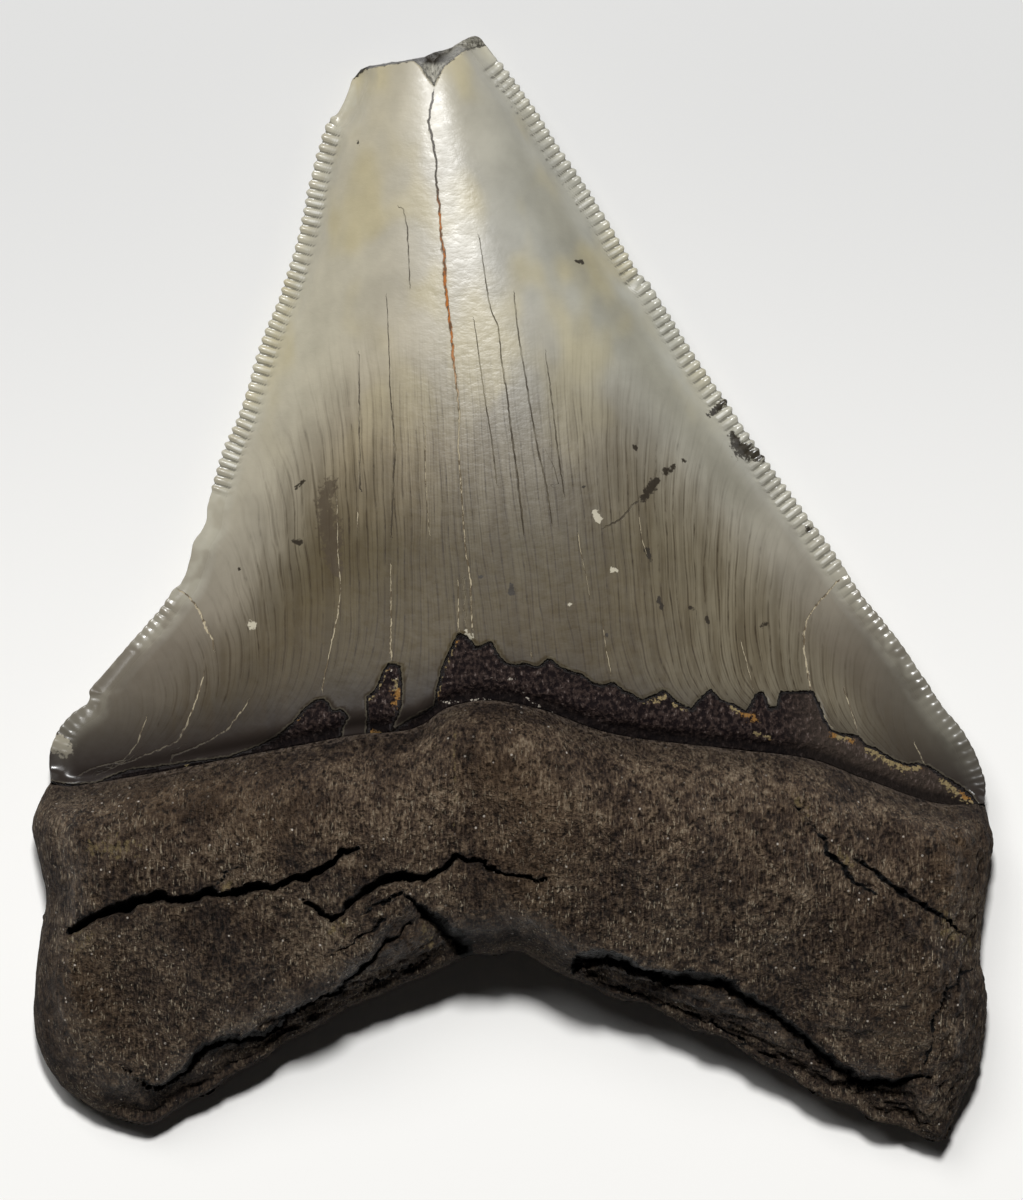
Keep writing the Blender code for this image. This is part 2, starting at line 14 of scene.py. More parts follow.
import bpy
import numpy as np
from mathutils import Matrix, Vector


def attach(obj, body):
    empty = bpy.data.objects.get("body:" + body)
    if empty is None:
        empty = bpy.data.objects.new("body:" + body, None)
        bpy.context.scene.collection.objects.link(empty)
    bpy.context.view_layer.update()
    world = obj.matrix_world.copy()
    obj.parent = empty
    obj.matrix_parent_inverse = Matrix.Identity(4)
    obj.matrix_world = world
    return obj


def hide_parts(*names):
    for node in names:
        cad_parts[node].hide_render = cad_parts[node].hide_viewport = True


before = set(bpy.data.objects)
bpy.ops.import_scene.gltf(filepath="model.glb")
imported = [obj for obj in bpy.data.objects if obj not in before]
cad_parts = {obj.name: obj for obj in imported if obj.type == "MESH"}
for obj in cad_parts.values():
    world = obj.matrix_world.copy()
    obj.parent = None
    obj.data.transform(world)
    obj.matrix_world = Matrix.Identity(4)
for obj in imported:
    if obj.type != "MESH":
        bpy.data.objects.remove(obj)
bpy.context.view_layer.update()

MM = 0.001
Array = np.ndarray
Points = Sequence[tuple[float, float]]
Trace = Sequence[tuple[float, float, float]]
Tones = tuple[tuple[float, str], ...]
Socket = bpy.types.NodeSocket
Tree = bpy.types.NodeTree


class Side(Enum):
    """The four sides of a patch, in the order that runs round it counter-clockwise."""

    LOW = 0
    RIGHT = 1
    HIGH = 2
    LEFT = 3


# Outlines of the tooth seen from above, counter-clockwise
RIGHT_EDGE: Points = (
    (47.3, -21.5), (47.2, -18.9), (45.4, -14.8), (42.7, -11.3), (38.9, -5.6), (35.3, -1.1),
    (33.8, 1.0), (33.2, 2.1), (28.8, 8.1), (25.3, 12.9), (21.3, 18.8), (18.0, 23.6),
    (13.8, 30.3), (12.4, 31.9), (8.5, 38.4), (4.6, 44.2), (1.6, 48.9), (-2.7, 54.5),
)
TIP_BREAK: Points = (
    (-2.7, 54.5), (-3.2, 55.2), (-3.9, 55.4), (-4.9, 55.0), (-5.9, 54.4), (-7.5, 53.9),
    (-9.0, 53.3), (-10.9, 52.8), (-14.5, 52.3), (-16.0, 51.1),
)
LEFT_EDGE: Points = (
    (-16.0, 51.1), (-16.7, 49.2), (-17.4, 47.8), (-18.6, 46.4), (-20.1, 41.1), (-21.4, 35.3),
    (-23.1, 29.7), (-25.0, 24.9), (-27.1, 18.1), (-29.0, 13.4), (-29.9, 10.5), (-30.5, 8.4),
    (-30.7, 6.6), (-31.9, 4.6), (-32.2, 3.0), (-33.1, 0.6), (-34.0, -0.2), (-35.2, -1.9),
    (-36.6, -3.6), (-39.3, -6.6), (-41.2, -8.9), (-42.3, -10.2), (-42.4, -11.3),
    (-44.1, -12.6), (-45.5, -14.3), (-46.3, -16.6), (-46.2, -19.3),
)
ROOT_LEFT: Points = (
    (-46.2, -19.3), (-47.3, -21.2), (-48.1, -23.8), (-47.5, -26.6), (-46.7, -30.6),
    (-47.1, -33.4), (-47.8, -38.5), (-47.9, -43.5), (-47.0, -47.0), (-45.2, -49.8),
)
ROOT_BASE: Points = (
    (-45.2, -49.8), (-42.6, -51.7), (-39.9, -53.0), (-37.2, -53.7), (-35.6, -53.4),
    (-32.7, -51.5), (-30.4, -50.5), (-27.8, -48.6), (-24.7, -46.9), (-22.8, -45.2),
    (-20.3, -44.2), (-16.8, -42.1), (-12.3, -40.1), (-8.1, -38.3), (-4.2, -36.7),
    (-1.3, -36.6), (-0.2, -36.1), (1.4, -36.5), (4.4, -38.3), (8.1, -39.8), (11.2, -41.2),
    (13.6, -41.6), (18.2, -44.1), (21.3, -45.0), (24.6, -47.2), (27.3, -48.5),
    (30.4, -50.5), (34.4, -51.9), (35.9, -53.2), (38.9, -53.9), (41.6, -55.2), (43.1, -55.4),
)
ROOT_RIGHT: Points = (
    (43.1, -55.4), (43.7, -54.5), (44.7, -51.9), (46.6, -47.8), (47.4, -43.0), (47.3, -39.4),
    (46.8, -36.9), (47.2, -31.5), (47.7, -28.0), (48.1, -25.6), (47.7, -23.5), (47.3, -21.5),
)
NECK_LINE: Points = (
    (-46.2, -19.3), (-44.2, -19.7), (-38.1, -18.8), (-25.0, -16.3), (-16.0, -14.6),
    (-9.9, -13.9), (-6.4, -11.8), (-2.2, -11.1), (2.8, -12.0), (9.8, -14.4), (17.5, -15.5),
    (29.3, -16.9), (35.2, -19.0), (42.3, -21.4), (47.3, -21.5),
)
# Widest level of the root's rounded sides: (x, height) along the base, (y, height) up the sides
BASE_RIM_LEVELS: Points = (
    (-48.0, 2.6), (-40.0, 2.4), (-34.0, 2.6), (-26.0, 3.6), (-16.0, 3.4), (-8.0, 5.4),
    (0.0, 6.6), (6.0, 6.2), (13.0, 4.6), (19.0, 4.2), (27.0, 5.0), (34.0, 5.0), (39.0, 3.6),
    (44.0, 2.6), (48.0, 2.6),
)
SIDE_RIM_LEVELS: Points = (
    (-56.0, 2.4), (-50.0, 2.6), (-42.0, 3.4), (-32.0, 4.2), (-20.0, 4.4),
)
# Lower edge of the enamel, with the flaked notches and the lens-shaped hole left of the middle
ENAMEL_EDGE: Points = (
    (-48.5, -19.4), (-46.2, -19.3), (-44.3, -19.6), (-41.8, -19.5), (-39.9, -18.7),
    (-38.3, -18.1), (-36.3, -17.9), (-32.3, -17.3), (-28.3, -16.8), (-25.4, -15.7),
    (-23.6, -14.8), (-21.9, -13.4),
    (-20.9, -12.1), (-19.7, -11.1), (-18.8, -11.0), (-18.3, -11.5), (-17.9, -12.2),
    (-17.1, -12.0), (-16.4, -12.7), (-16.9, -13.7), (-17.2, -14.8), (-16.1, -15.4),
    (-14.6, -15.0), (-14.4, -12.7), (-14.5, -10.8), (-13.7, -10.2), (-13.2, -9.1),
    (-12.8, -8.1), (-12.2, -7.4), (-11.2, -7.7), (-11.1, -8.7), (-11.0, -10.1),
    (-11.1, -11.4), (-11.4, -12.5), (-12.0, -13.7), (-12.0, -14.2), (-10.2, -13.0),
    (-7.8, -11.7), (-7.6, -11.1), (-7.6, -10.3), (-7.2, -8.9), (-7.0, -7.8), (-6.2, -6.1),
    (-5.4, -4.4), (-4.6, -4.7), (-4.0, -5.3), (-3.6, -5.9), (-2.2, -5.2), (-1.3, -6.7),
    (-0.7, -7.4), (0.4, -7.6), (1.2, -7.4), (2.5, -7.8), (3.7, -6.9), (4.6, -7.7),
    (5.7, -8.2), (6.9, -8.5), (8.0, -9.4), (9.0, -9.6), (10.1, -9.3), (11.1, -10.2),
    (12.0, -10.5), (12.8, -11.1), (14.3, -10.5), (15.1, -10.0), (16.4, -11.3), (17.8, -12.0),
    (18.7, -10.9), (19.7, -10.0), (20.8, -11.1), (22.0, -11.5), (23.3, -12.2), (24.3, -10.5),
    (24.9, -10.2), (25.2, -10.7), (25.6, -11.9), (26.4, -11.7), (26.7, -10.3), (30.0, -10.2),
    (30.6, -11.5), (31.1, -13.0), (31.9, -14.2), (32.7, -14.4), (34.6, -14.7), (35.3, -15.6),
    (36.3, -15.9), (37.3, -16.6), (38.4, -17.2), (39.5, -17.6), (40.5, -17.4), (41.7, -17.8),
    (43.6, -19.0), (44.8, -19.7), (46.0, -20.7), (46.7, -21.8), (48.5, -22.2),
)
# Lingual edge of the break at the tip, with the chipped notch at the top of the main crack
BREAK_EDGE: Points = (
    (-17.0, 50.4), (-16.2, 50.95), (-14.7, 52.05), (-12.6, 52.35), (-10.9, 52.6),
    (-9.9, 52.75), (-9.3, 52.3), (-8.8, 51.5),
    (-8.2, 50.7), (-7.8, 50.3), (-7.4, 51.1), (-6.7, 52.3), (-5.7, 53.1), (-4.7, 53.9),
    (-3.2, 54.4), (-2.0, 54.8),
)


def smoothstep(low: float, high: float, value: Array) -> Array:
    """An S-shaped rise from 0 at low to 1 at high: 3t^2 - 2t^3 of the clipped share t.

    Args:
        low: where the rise starts.
        high: where it ends.
        value: the numbers to map.

    Returns:
        An array of numbers between 0 and 1.
    """
    share = np.clip((value - low) / (high - low), 0.0, 1.0)
    return share * share * (3.0 - 2.0 * share)


def smooth_curve(points: Points, step: float) -> Array:
    """Evenly spaced points on a Catmull-Rom spline, a cubic that passes through each given one.

    Args:
        points: the points that the curve passes through.
        step: the spacing wanted, in millimetres.

    Returns:
        An (n, 2) array along the curve.
    """
    knots = np.array(points, float)
    padded = np.vstack([2 * knots[0] - knots[1], knots, 2 * knots[-1] - knots[-2]])
    share = np.linspace(0.0, 1.0, 24, endpoint=False)[None, :, None]
    before, start, end, after = (padded[k : len(padded) - 3 + k, None, :] for k in range(4))
    fine = (
        start
        + 0.5 * share * (end - before)
        + share**2 * (before - 2.5 * start + 2 * end - 0.5 * after)
        + share**3 * (1.5 * (start - end) + 0.5 * (after - before))
    )
    fine = np.vstack([fine.reshape(-1, 2), knots[-1:]])
    along = arc_length(fine)
    places = np.linspace(0.0, along[-1], max(2, int(round(along[-1] / step)) + 1))
    return np.stack([np.interp(places, along, fine[:, axis]) for axis in (0, 1)], axis=1)


def arc_length(line: Array) -> Array:
    """Distance along a line at each of its points, starting at 0."""
    return np.concatenate([[0.0], np.cumsum(np.linalg.norm(np.diff(line, axis=0), axis=1))])


def at_share(line: Array, share: Array) -> Array:
    """Points of a line at shares of its length.

    Args:
        line: an (n, 2) line.
        share: shares from 0 to 1, of any shape.

    Returns:
        Points with the shape of share and one more axis for x and y.
    """
    along = arc_length(line)
    along = along / along[-1]
    return np.stack([np.interp(share, along, line[:, axis]) for axis in (0, 1)], axis=-1)


def nearest_on_line(points: Array, line: Array) -> tuple[Array, Array, Array]:
    """Nearest place on a line for each point: it drops a perpendicular on every segment.

    Args:
        points: an (n, 2) array.
        line: an (m, 2) array.

    Returns:
        The distance, the side (+1 on the right of the line as it runs, -1 on the left) and the
        place along the line in millimetres.
    """
    start, span = line[:-1], np.diff(line, axis=0)
    along = arc_length(line)
    results = []
    for block in np.array_split(points, max(1, len(points) * len(line) // 4_000_000 + 1)):
        gap = block[:, None, :] - start[None]
        share = np.clip((gap * span).sum(2) / np.maximum((span**2).sum(1), 1e-12), 0.0, 1.0)
        gap = gap - share[..., None] * span
        distance = (gap**2).sum(2)
        best = distance.argmin(axis=1)
        row = np.arange(len(block))
        turn = span[best, 1] * gap[row, best, 0] - span[best, 0] * gap[row, best, 1]
        place = along[best] + share[row, best] * (along[best + 1] - along[best])
        results.append((np.sqrt(distance[row, best]), np.where(turn > 0, 1.0, -1.0), place))
    distance, side, place = (np.concatenate(part) for part in zip(*results))
    return distance, side, place


def inside_polygon(points: Array, corners: Array) -> Array:
    """Whether each point lies in a polygon: it does if a ray along +X crosses its edges oddly often.

    Args:
        points: an (n, 2) array.
        corners: the polygon's corners.

    Returns:
        An array of booleans.
    """
    result = np.zeros(len(points), bool)
    for start, end in zip(corners, np.roll(corners, -1, axis=0)):
        crosses = (start[1] > points[:, 1]) != (end[1] > points[:, 1])
        rise = end[1] - start[1] if end[1] != start[1] else 1.0
        reach = start[0] + (points[:, 1] - start[1]) / rise * (end[0] - start[0])
        result ^= crosses & (points[:, 0] < reach)
    return result


def lattice_noise(points: Array, cell: Sequence[float], seed: int) -> Array:
    """Smooth noise in -1..1: a random value at each lattice corner, blended by smoothstep shares.

    Args:
        points: an (n, 3) array in millimetres.
        cell: the lattice cell's three sizes in millimetres.
        seed: picks another field of the same kind.

    Returns:
        One value for each point.
    """
    place = points / np.asarray(cell, float) + 1000.0
    corner = np.floor(place).astype(np.int64)
    share = place - corner
    share = share * share * (3.0 - 2.0 * share)
    total = np.zeros(len(points))
    for step in itertools.product((0, 1), repeat=3):
        x, y, z = (corner + step).T
        mixed = (x * 73856093 ^ y * 19349663 ^ z * 83492791 ^ seed * 2654435761) & 0xFFFFFFFF
        mixed = ((mixed ^ (mixed >> 13)) * 1274126177) & 0xFFFFFFFF
        mixed = ((mixed ^ (mixed >> 16)) * 2246822519) & 0xFFFFFFFF
        weight = np.prod(np.where(step, share, 1.0 - share), axis=1)
        total += weight * (mixed / 2147483648.0 - 1.0)
    return total


def rough_noise(points: Array, cell: Sequence[float], seed: int, octaves: int = 3) -> Array:
    """Lattice noise summed at halved cell sizes, each at 0.55 of the strength before it.

    Args:
        points: an (n, 3) array in millimetres.
        cell: the largest lattice cell's three sizes in millimetres.
        seed: picks another field of the same kind.
        octaves: how many sizes are summed.

    Returns:
        One value for each point.
    """
    total = np.zeros(len(points))
    for octave in range(octaves):
        size = np.asarray(cell, float) / 2**octave
        total += 0.55**octave * lattice_noise(points, size, seed + 17 * octave)
    return total


@dataclass(frozen=True)
class Stroke:
    """A traced mark: x, y and half width at each point, and for a crack in the root its depth.

    The drop is how far the surface on the right of the line lies below that on the left.
    """

    trace: Trace
    depth: float = 0.0
    drop: float = 0.0

    def reach(self, points: Array) -> tuple[Array, Array, Array, Array, Array]:
        """Distance, side, half width and two end fades of the stroke at each point.

        Args:
            points: an (n, 2) array.

        Returns:
            Five arrays. The fades fall to 0 over the last 0.6 mm and 4 mm at each end.
        """
        trace = np.array(self.trace, float)
        line, half_widths = trace[:, :2], trace[:, 2]
        if len(line) == 1:
            distance = np.linalg.norm(points - line[0], axis=1)
            full = np.ones(len(points))
            return distance, full, full * half_widths[0], full, full
        distance, side, place = nearest_on_line(points, line)
        along = arc_length(line)
        width = np.interp(place, along, half_widths)
        end = np.minimum(place, along[-1] - place)
        quick = smoothstep(0.0, min(0.6, along[-1] / 3), end)
        slow = smoothstep(0.0, min(4.0, along[-1] / 3), end)
        return distance, side, width, quick, slow


def marks(*traces: Trace) -> tuple[Stroke, ...]:
    """Strokes of colour alone, without depth."""
    return tuple(Stroke(trace) for trace in traces)


def cover(points: Array, strokes: Sequence[Stroke]) -> Array:
    """How deep each point lies in any of the strokes: 1 on a line, 0 at its half width, down to -3.

    Args:
        points: an (n, 2) array.
        strokes: the marks.

    Returns:
        One value for each point.
    """
    result = np.full(len(points), -3.0)
    for stroke in strokes:
        distance, _, width, _, _ = stroke.reach(points)
        result = np.maximum(result, 1.0 - distance / np.maximum(width, 1e-3))
    return result


def line_field(points: Array, strokes: Sequence[Stroke]) -> tuple[Array, Array]:
    """Signed and plain distance to the nearest of many thin lines.

    The signed one crosses 0 on the line, so it draws a line finer than the mesh. It also
    crosses 0 half way between two lines, where the plain one is large and masks it.

    Args:
        points: an (n, 2) array.
        strokes: the lines; a half width above 0.1 mm thickens its line in proportion.

    Returns:
        The signed distance in units of the line's half width, and the distance in millimetres.
    """
    nearest = np.full(len(points), 9.0)
    signed = np.full(len(points), 9.0)
    for stroke in strokes:
        distance, side, width, fade, _ = stroke.reach(points)
        distance = distance + 0.8 * (1.0 - fade)
        closer = distance < nearest
        nearest = np.where(closer, distance, nearest)
        signed = np.where(closer, side * distance / np.maximum(width, 0.02), signed)
    return signed, nearest


ROOT_CRACKS = (
    Stroke((
        (-44.3, -34.2, 0.35), (-42.2, -33.0, 0.75), (-40.1, -32.2, 0.7), (-38.4, -31.7, 0.75),
        (-36.9, -31.1, 0.75), (-35.3, -31.0, 0.75), (-33.8, -31.0, 0.6), (-32.3, -31.1, 0.65),
        (-31.1, -30.7, 0.5), (-30.1, -30.0, 0.6), (-29.3, -30.5, 0.35), (-27.3, -30.2, 0.45),
        (-25.2, -29.8, 0.45), (-23.0, -29.5, 0.5), (-21.3, -28.7, 0.45), (-20.6, -28.6, 0.45),
        (-18.2, -27.5, 0.35), (-16.8, -26.2, 0.25), (-15.4, -25.7, 0.12),
    ), depth=3.4),
    Stroke((
        (-29.7, -29.7, 0.12), (-28.6, -28.3, 0.1), (-27.2, -27.6, 0.08), (-25.9, -26.7, 0.04),
    ), depth=0.7),
    Stroke((
        (-21.4, -30.6, 0.12), (-20.0, -31.6, 0.22), (-18.8, -32.4, 0.3), (-17.9, -33.0, 0.4),
        (-17.0, -32.4, 0.3), (-16.6, -31.4, 0.4), (-15.4, -30.2, 0.45), (-13.6, -29.3, 0.5),
        (-12.0, -28.9, 0.6), (-10.6, -28.7, 0.55), (-8.6, -28.9, 0.5), (-7.2, -28.0, 0.35),
        (-6.3, -27.0, 0.3), (-5.6, -26.2, 0.25), (-4.8, -26.7, 0.25), (-3.6, -26.9, 0.2),
        (-2.4, -27.5, 0.22), (-1.6, -27.9, 0.2), (0.8, -28.5, 0.2), (2.4, -29.0, 0.16),
        (3.6, -29.0, 0.06),
    ), depth=2.8, drop=0.5),
    Stroke((
        (-39.2, -47.7, 0.08), (-37.0, -49.3, 0.14), (-36.2, -49.7, 0.22), (-35.0, -49.5, 0.3),
        (-33.0, -48.3, 0.3), (-32.1, -47.6, 0.32), (-31.4, -46.4, 0.35), (-30.6, -45.6, 0.5),
        (-28.8, -45.1, 0.42), (-27.2, -44.8, 0.4), (-24.6, -44.6, 0.4), (-23.3, -43.6, 0.3),
        (-22.6, -42.6, 0.3), (-19.6, -41.2, 0.22), (-17.8, -40.1, 0.25), (-15.3, -38.0, 0.2),
        (-13.4, -36.2, 0.2), (-11.4, -34.6, 0.2), (-9.8, -32.9, 0.2),
    ), depth=1.6, drop=2.2),
    Stroke((
        (-12.3, -32.7, 0.15), (-14.3, -34.0, 0.2), (-16.2, -35.4, 0.15), (-18.4, -36.6, 0.05),
    ), depth=0.8, drop=-0.5),
    Stroke((
        (-8.0, -35.9, 0.1), (-9.1, -37.2, 0.2), (-11.2, -38.0, 0.2), (-13.4, -38.7, 0.18),
        (-15.4, -39.7, 0.05),
    ), depth=0.8, drop=-0.4),
    Stroke((
        (-10.6, -30.2, 0.2), (-9.1, -31.7, 0.45), (-7.6, -32.9, 0.85), (-6.2, -34.4, 1.05),
        (-5.0, -35.6, 1.0), (-3.9, -37.0, 0.7),
    ), depth=2.8, drop=2.4),
    Stroke(((-15.2, -32.3, 0.1), (-12.6, -31.0, 0.16), (-10.3, -29.8, 0.14)), depth=0.8),
    Stroke((
        (-15.6, -37.9, 0.06), (-13.6, -36.2, 0.14), (-11.6, -34.6, 0.16), (-9.6, -33.2, 0.12),
    ), depth=0.8),
    Stroke((
        (6.0, -38.3, 0.4), (6.9, -37.0, 0.7), (8.2, -36.6, 0.85), (9.6, -36.8, 0.7),
        (11.5, -37.3, 0.6), (13.6, -38.0, 0.55), (15.6, -38.9, 0.55), (17.2, -38.7, 0.75),
        (18.9, -38.8, 0.75), (20.8, -39.1, 0.7), (22.2, -39.9, 0.6), (24.0, -41.0, 0.5),
        (25.8, -42.2, 0.4), (27.4, -43.3, 0.45), (29.3, -44.9, 0.4), (31.0, -46.6, 0.5),
        (32.5, -48.0, 0.55), (34.2, -49.2, 0.55), (36.2, -49.2, 0.35), (38.4, -49.2, 0.4),
        (40.0, -48.6, 0.35), (42.0, -48.8, 0.12),
    ), depth=2.4, drop=2.4),
    Stroke((
        (9.6, -39.6, 0.08), (12.0, -40.4, 0.14), (15.2, -41.5, 0.16), (17.4, -42.4, 0.14),
        (20.8, -43.9, 0.16), (24.0, -46.0, 0.12), (27.6, -47.9, 0.05),
    ), depth=0.9, drop=0.5),
    Stroke((
        (46.0, -37.8, 0.2), (44.9, -38.9, 0.2), (43.4, -40.0, 0.16), (42.0, -42.3, 0.2),
        (41.8, -45.4, 0.16), (41.1, -47.6, 0.2),
    ), depth=0.4, drop=-0.7),
    Stroke((
        (33.8, -26.6, 0.12), (35.4, -27.7, 0.25), (37.3, -29.4, 0.3), (38.8, -30.3, 0.4),
        (40.6, -31.3, 0.35), (42.3, -32.3, 0.3), (43.7, -33.4, 0.25), (45.3, -35.0, 0.1),
    ), depth=1.4),
    Stroke((
        (27.2, -19.9, 0.06), (28.8, -22.5, 0.1), (30.2, -24.2, 0.12), (31.4, -26.3, 0.25),
        (32.9, -27.5, 0.25), (34.0, -29.2, 0.3), (35.4, -30.1, 0.2), (36.6, -30.8, 0.1),
    ), depth=1.0),
    Stroke(((-43.2, -24.9, 0.08), (-42.2, -25.2, 0.12), (-41.0, -25.7, 0.05)), depth=0.4),
)
PALE_CRACKS = marks(
    (
        (-7.8, 50.3, 0.1), (-8.1, 48.2, 0.12), (-8.4, 46.7, 0.16), (-8.0, 44.7, 0.15),
        (-7.6, 42.5, 0.12), (-7.6, 40.5, 0.12), (-7.3, 38.2, 0.14), (-7.1, 35.0, 0.18),
        (-6.8, 33.1, 0.2), (-6.8, 31.3, 0.18), (-6.5, 28.2, 0.17), (-6.1, 25.7, 0.17),
        (-5.9, 23.0, 0.15), (-5.5, 19.8, 0.12), (-5.3, 17.3, 0.1), (-5.4, 14.0, 0.1),
        (-5.1, 10.1, 0.1), (-4.9, 6.7, 0.09), (-4.7, 4.2, 0.09), (-4.2, 1.1, 0.1),
        (-4.0, -4.4, 0.1),
    ),
    ((-5.4, 1.4, 0.05), (-5.4, -1.9, 0.08), (-5.4, -4.4, 0.1)),
    ((-12.1, 3.0, 0.05), (-12.1, -1.0, 0.09), (-12.1, -5.0, 0.1), (-12.1, -7.4, 0.14)),
    (
        (-17.5, 9.5, 0.05), (-17.4, 3.5, 0.06), (-17.1, 0.0, 0.07), (-17.4, -2.6, 0.07),
        (-17.9, -4.8, 0.08), (-18.5, -7.6, 0.08), (-19.1, -10.6, 0.09),
    ),
    ((-15.4, 8.2, 0.07), (-15.5, 5.6, 0.05)),
    ((-8.7, 16.9, 0.06), (-8.7, 12.0, 0.07), (-8.5, 8.2, 0.05), (-8.2, 4.8, 0.04)),
    (
        (-33.9, 0.2, 0.1), (-32.5, -0.7, 0.1), (-31.8, -1.5, 0.12), (-31.2, -2.5, 0.15),
        (-30.8, -3.5, 0.17), (-30.4, -4.3, 0.15), (-30.0, -5.0, 0.12), (-29.8, -6.6, 0.06),
    ),
    (
        (-44.1, -19.0, 0.1), (-42.2, -18.0, 0.1), (-38.9, -17.1, 0.09), (-37.5, -15.4, 0.09),
        (-37.0, -14.0, 0.08), (-36.3, -12.3, 0.04),
    ),
    (
        (-41.9, -19.2, 0.1), (-41.8, -18.7, 0.1), (-39.9, -17.8, 0.1), (-37.9, -17.1, 0.11),
        (-35.5, -16.1, 0.11), (-33.4, -15.2, 0.1), (-32.5, -13.5, 0.1), (-31.5, -10.9, 0.09),
        (-31.0, -9.2, 0.09), (-30.6, -7.8, 0.04),
    ),
    (
        (-34.4, -17.7, 0.12), (-33.9, -16.6, 0.16), (-32.7, -16.2, 0.12), (-31.0, -15.5, 0.1),
        (-28.4, -14.0, 0.1), (-27.5, -12.8, 0.1), (-26.0, -10.8, 0.08),
    ),
    (
        (33.2, 1.2, 0.1), (32.4, 0.7, 0.1), (31.6, -0.3, 0.1), (30.8, -1.1, 0.12),
        (30.0, -2.2, 0.12), (29.4, -3.1, 0.12), (29.1, -4.3, 0.15), (29.1, -6.1, 0.13),
        (29.4, -7.9, 0.12), (29.8, -10.1, 0.12), (30.5, -11.7, 0.14), (31.3, -13.1, 0.14),
        (32.3, -14.4, 0.14),
    ),
    ((32.9, -9.4, 0.05), (33.8, -12.1, 0.08), (34.6, -14.6, 0.1)),
    ((39.9, -14.9, 0.05), (40.9, -16.8, 0.09), (41.4, -17.9, 0.1)),
    ((6.5, 6.0, 0.07), (6.7, 4.0, 0.05), (7.3, 1.5, 0.03), (7.8, -1.5, 0.03)),
    ((8.9, -2.7, 0.05), (9.3, -6.0, 0.05), (9.9, -8.9, 0.07)),
    ((12.5, 8.0, 0.05), (12.9, 5.0, 0.06), (13.5, 3.0, 0.03)),
    ((22.6, -4.7, 0.06), (23.3, -7.2, 0.06), (24.1, -10.4, 0.05)),
    ((1.7, -6.0, 0.1), (2.0, -7.2, 0.12)),
)
DARK_CRACKS = marks(
    ((-11.7, 38.4, 0.05), (-10.9, 37.9, 0.06), (-10.5, 35.9, 0.07), (-10.2, 29.6, 0.06)),
    (
        (-12.6, 29.7, 0.05), (-12.4, 25.9, 0.05), (-12.2, 20.0, 0.06), (-11.7, 14.0, 0.09),
        (-11.9, 9.8, 0.08), (-12.1, 4.8, 0.06),
    ),
    ((-15.3, 24.0, 0.04), (-15.3, 17.0, 0.07), (-15.2, 9.3, 0.09)),
    (
        (-3.4, 35.7, 0.04), (-2.7, 30.9, 0.06), (-2.2, 27.9, 0.06), (-1.4, 26.1, 0.06),
        (-1.1, 22.9, 0.07), (-0.5, 19.0, 0.08), (0.1, 14.0, 0.08), (0.6, 10.4, 0.09),
        (1.2, 5.0, 0.05),
    ),
    (
        (0.1, 30.0, 0.05), (0.6, 25.3, 0.07), (1.5, 19.8, 0.08), (2.5, 14.0, 0.08),
        (3.4, 10.2, 0.07), (4.0, 6.0, 0.05),
    ),
    (
        (3.2, 24.1, 0.04), (3.6, 21.4, 0.06), (4.1, 17.4, 0.07), (4.5, 14.0, 0.08),
        (5.2, 9.0, 0.06),
    ),
    (
        (-3.9, 27.4, 0.03), (-3.4, 23.6, 0.05), (-2.8, 19.3, 0.05), (-2.1, 15.0, 0.06),
        (-1.5, 10.0, 0.05),
    ),
    ((8.7, 5.9, 0.08), (10.8, 6.9, 0.1), (11.9, 8.3, 0.12), (12.8, 9.0, 0.12)),
)
STAINS = marks(
    ((13.0, 8.9, 0.45), (13.7, 10.1, 0.75), (14.5, 11.0, 0.35)),
    ((15.2, 11.6, 0.5), (16.1, 12.2, 0.3)),
    ((17.1, 12.8, 0.3),),
    ((19.7, 17.4, 0.35), (21.4, 18.9, 0.5)),
    ((22.0, 15.4, 0.5), (22.9, 13.9, 0.95), (24.7, 13.4, 0.7)),
    ((29.7, 6.0, 0.4),),
    ((6.2, 32.8, 0.2), (6.9, 32.7, 0.3)),
    ((-15.5, 44.8, 0.16), (-15.4, 44.4, 0.16)),
    ((-3.2, 1.2, 0.3),),
    ((-0.1, 0.4, 0.25), (-0.1, -0.4, 0.35)),
    ((13.4, 4.0, 0.3), (13.7, 2.9, 0.3)),
    ((17.8, -1.9, 0.32),),
    ((19.3, -2.8, 0.22), (19.5, -3.3, 0.25)),
    ((25.1, -3.6, 0.42),),
    ((14.6, -1.0, 0.3), (14.9, -2.0, 0.25)),
    ((9.3, -4.6, 0.3),),
    ((7.1, 10.2, 0.3),),
    ((11.9, 14.3, 0.25), (12.4, 14.0, 0.3)),
    ((-21.9, 10.6, 0.2), (-21.6, 10.1, 0.3)),
    ((-20.7, 10.9, 0.2), (-20.9, 10.6, 0.2)),
    ((-21.9, 4.8, 0.25), (-21.2, 4.6, 0.35)),
    ((-27.2, 6.4, 0.12), (-27.6, 5.9, 0.18)),
    ((-27.3, 2.0, 0.2),),
)
BROWN_BLOTCH = marks(
    (
        (-18.2, 10.4, 0.9), (-18.8, 8.8, 0.9), (-18.4, 7.0, 1.2), (-18.1, 5.0, 1.3),
        (-17.9, 3.0, 1.0), (-17.5, 1.6, 0.6),
    ),
)
PALE_SPOTS = marks(
    ((-26.0, -3.6, 0.5),),
    ((8.2, 7.6, 0.35), (8.5, 7.0, 0.45)),
    ((9.9, 1.9, 0.3), (10.4, 1.9, 0.2)),
    ((5.7, -1.5, 0.3),),
    ((-4.7, -4.5, 0.45), (-4.2, -4.9, 0.4)),
    ((-45.6, -15.4, 1.1), (-44.8, -16.1, 0.9)),
)
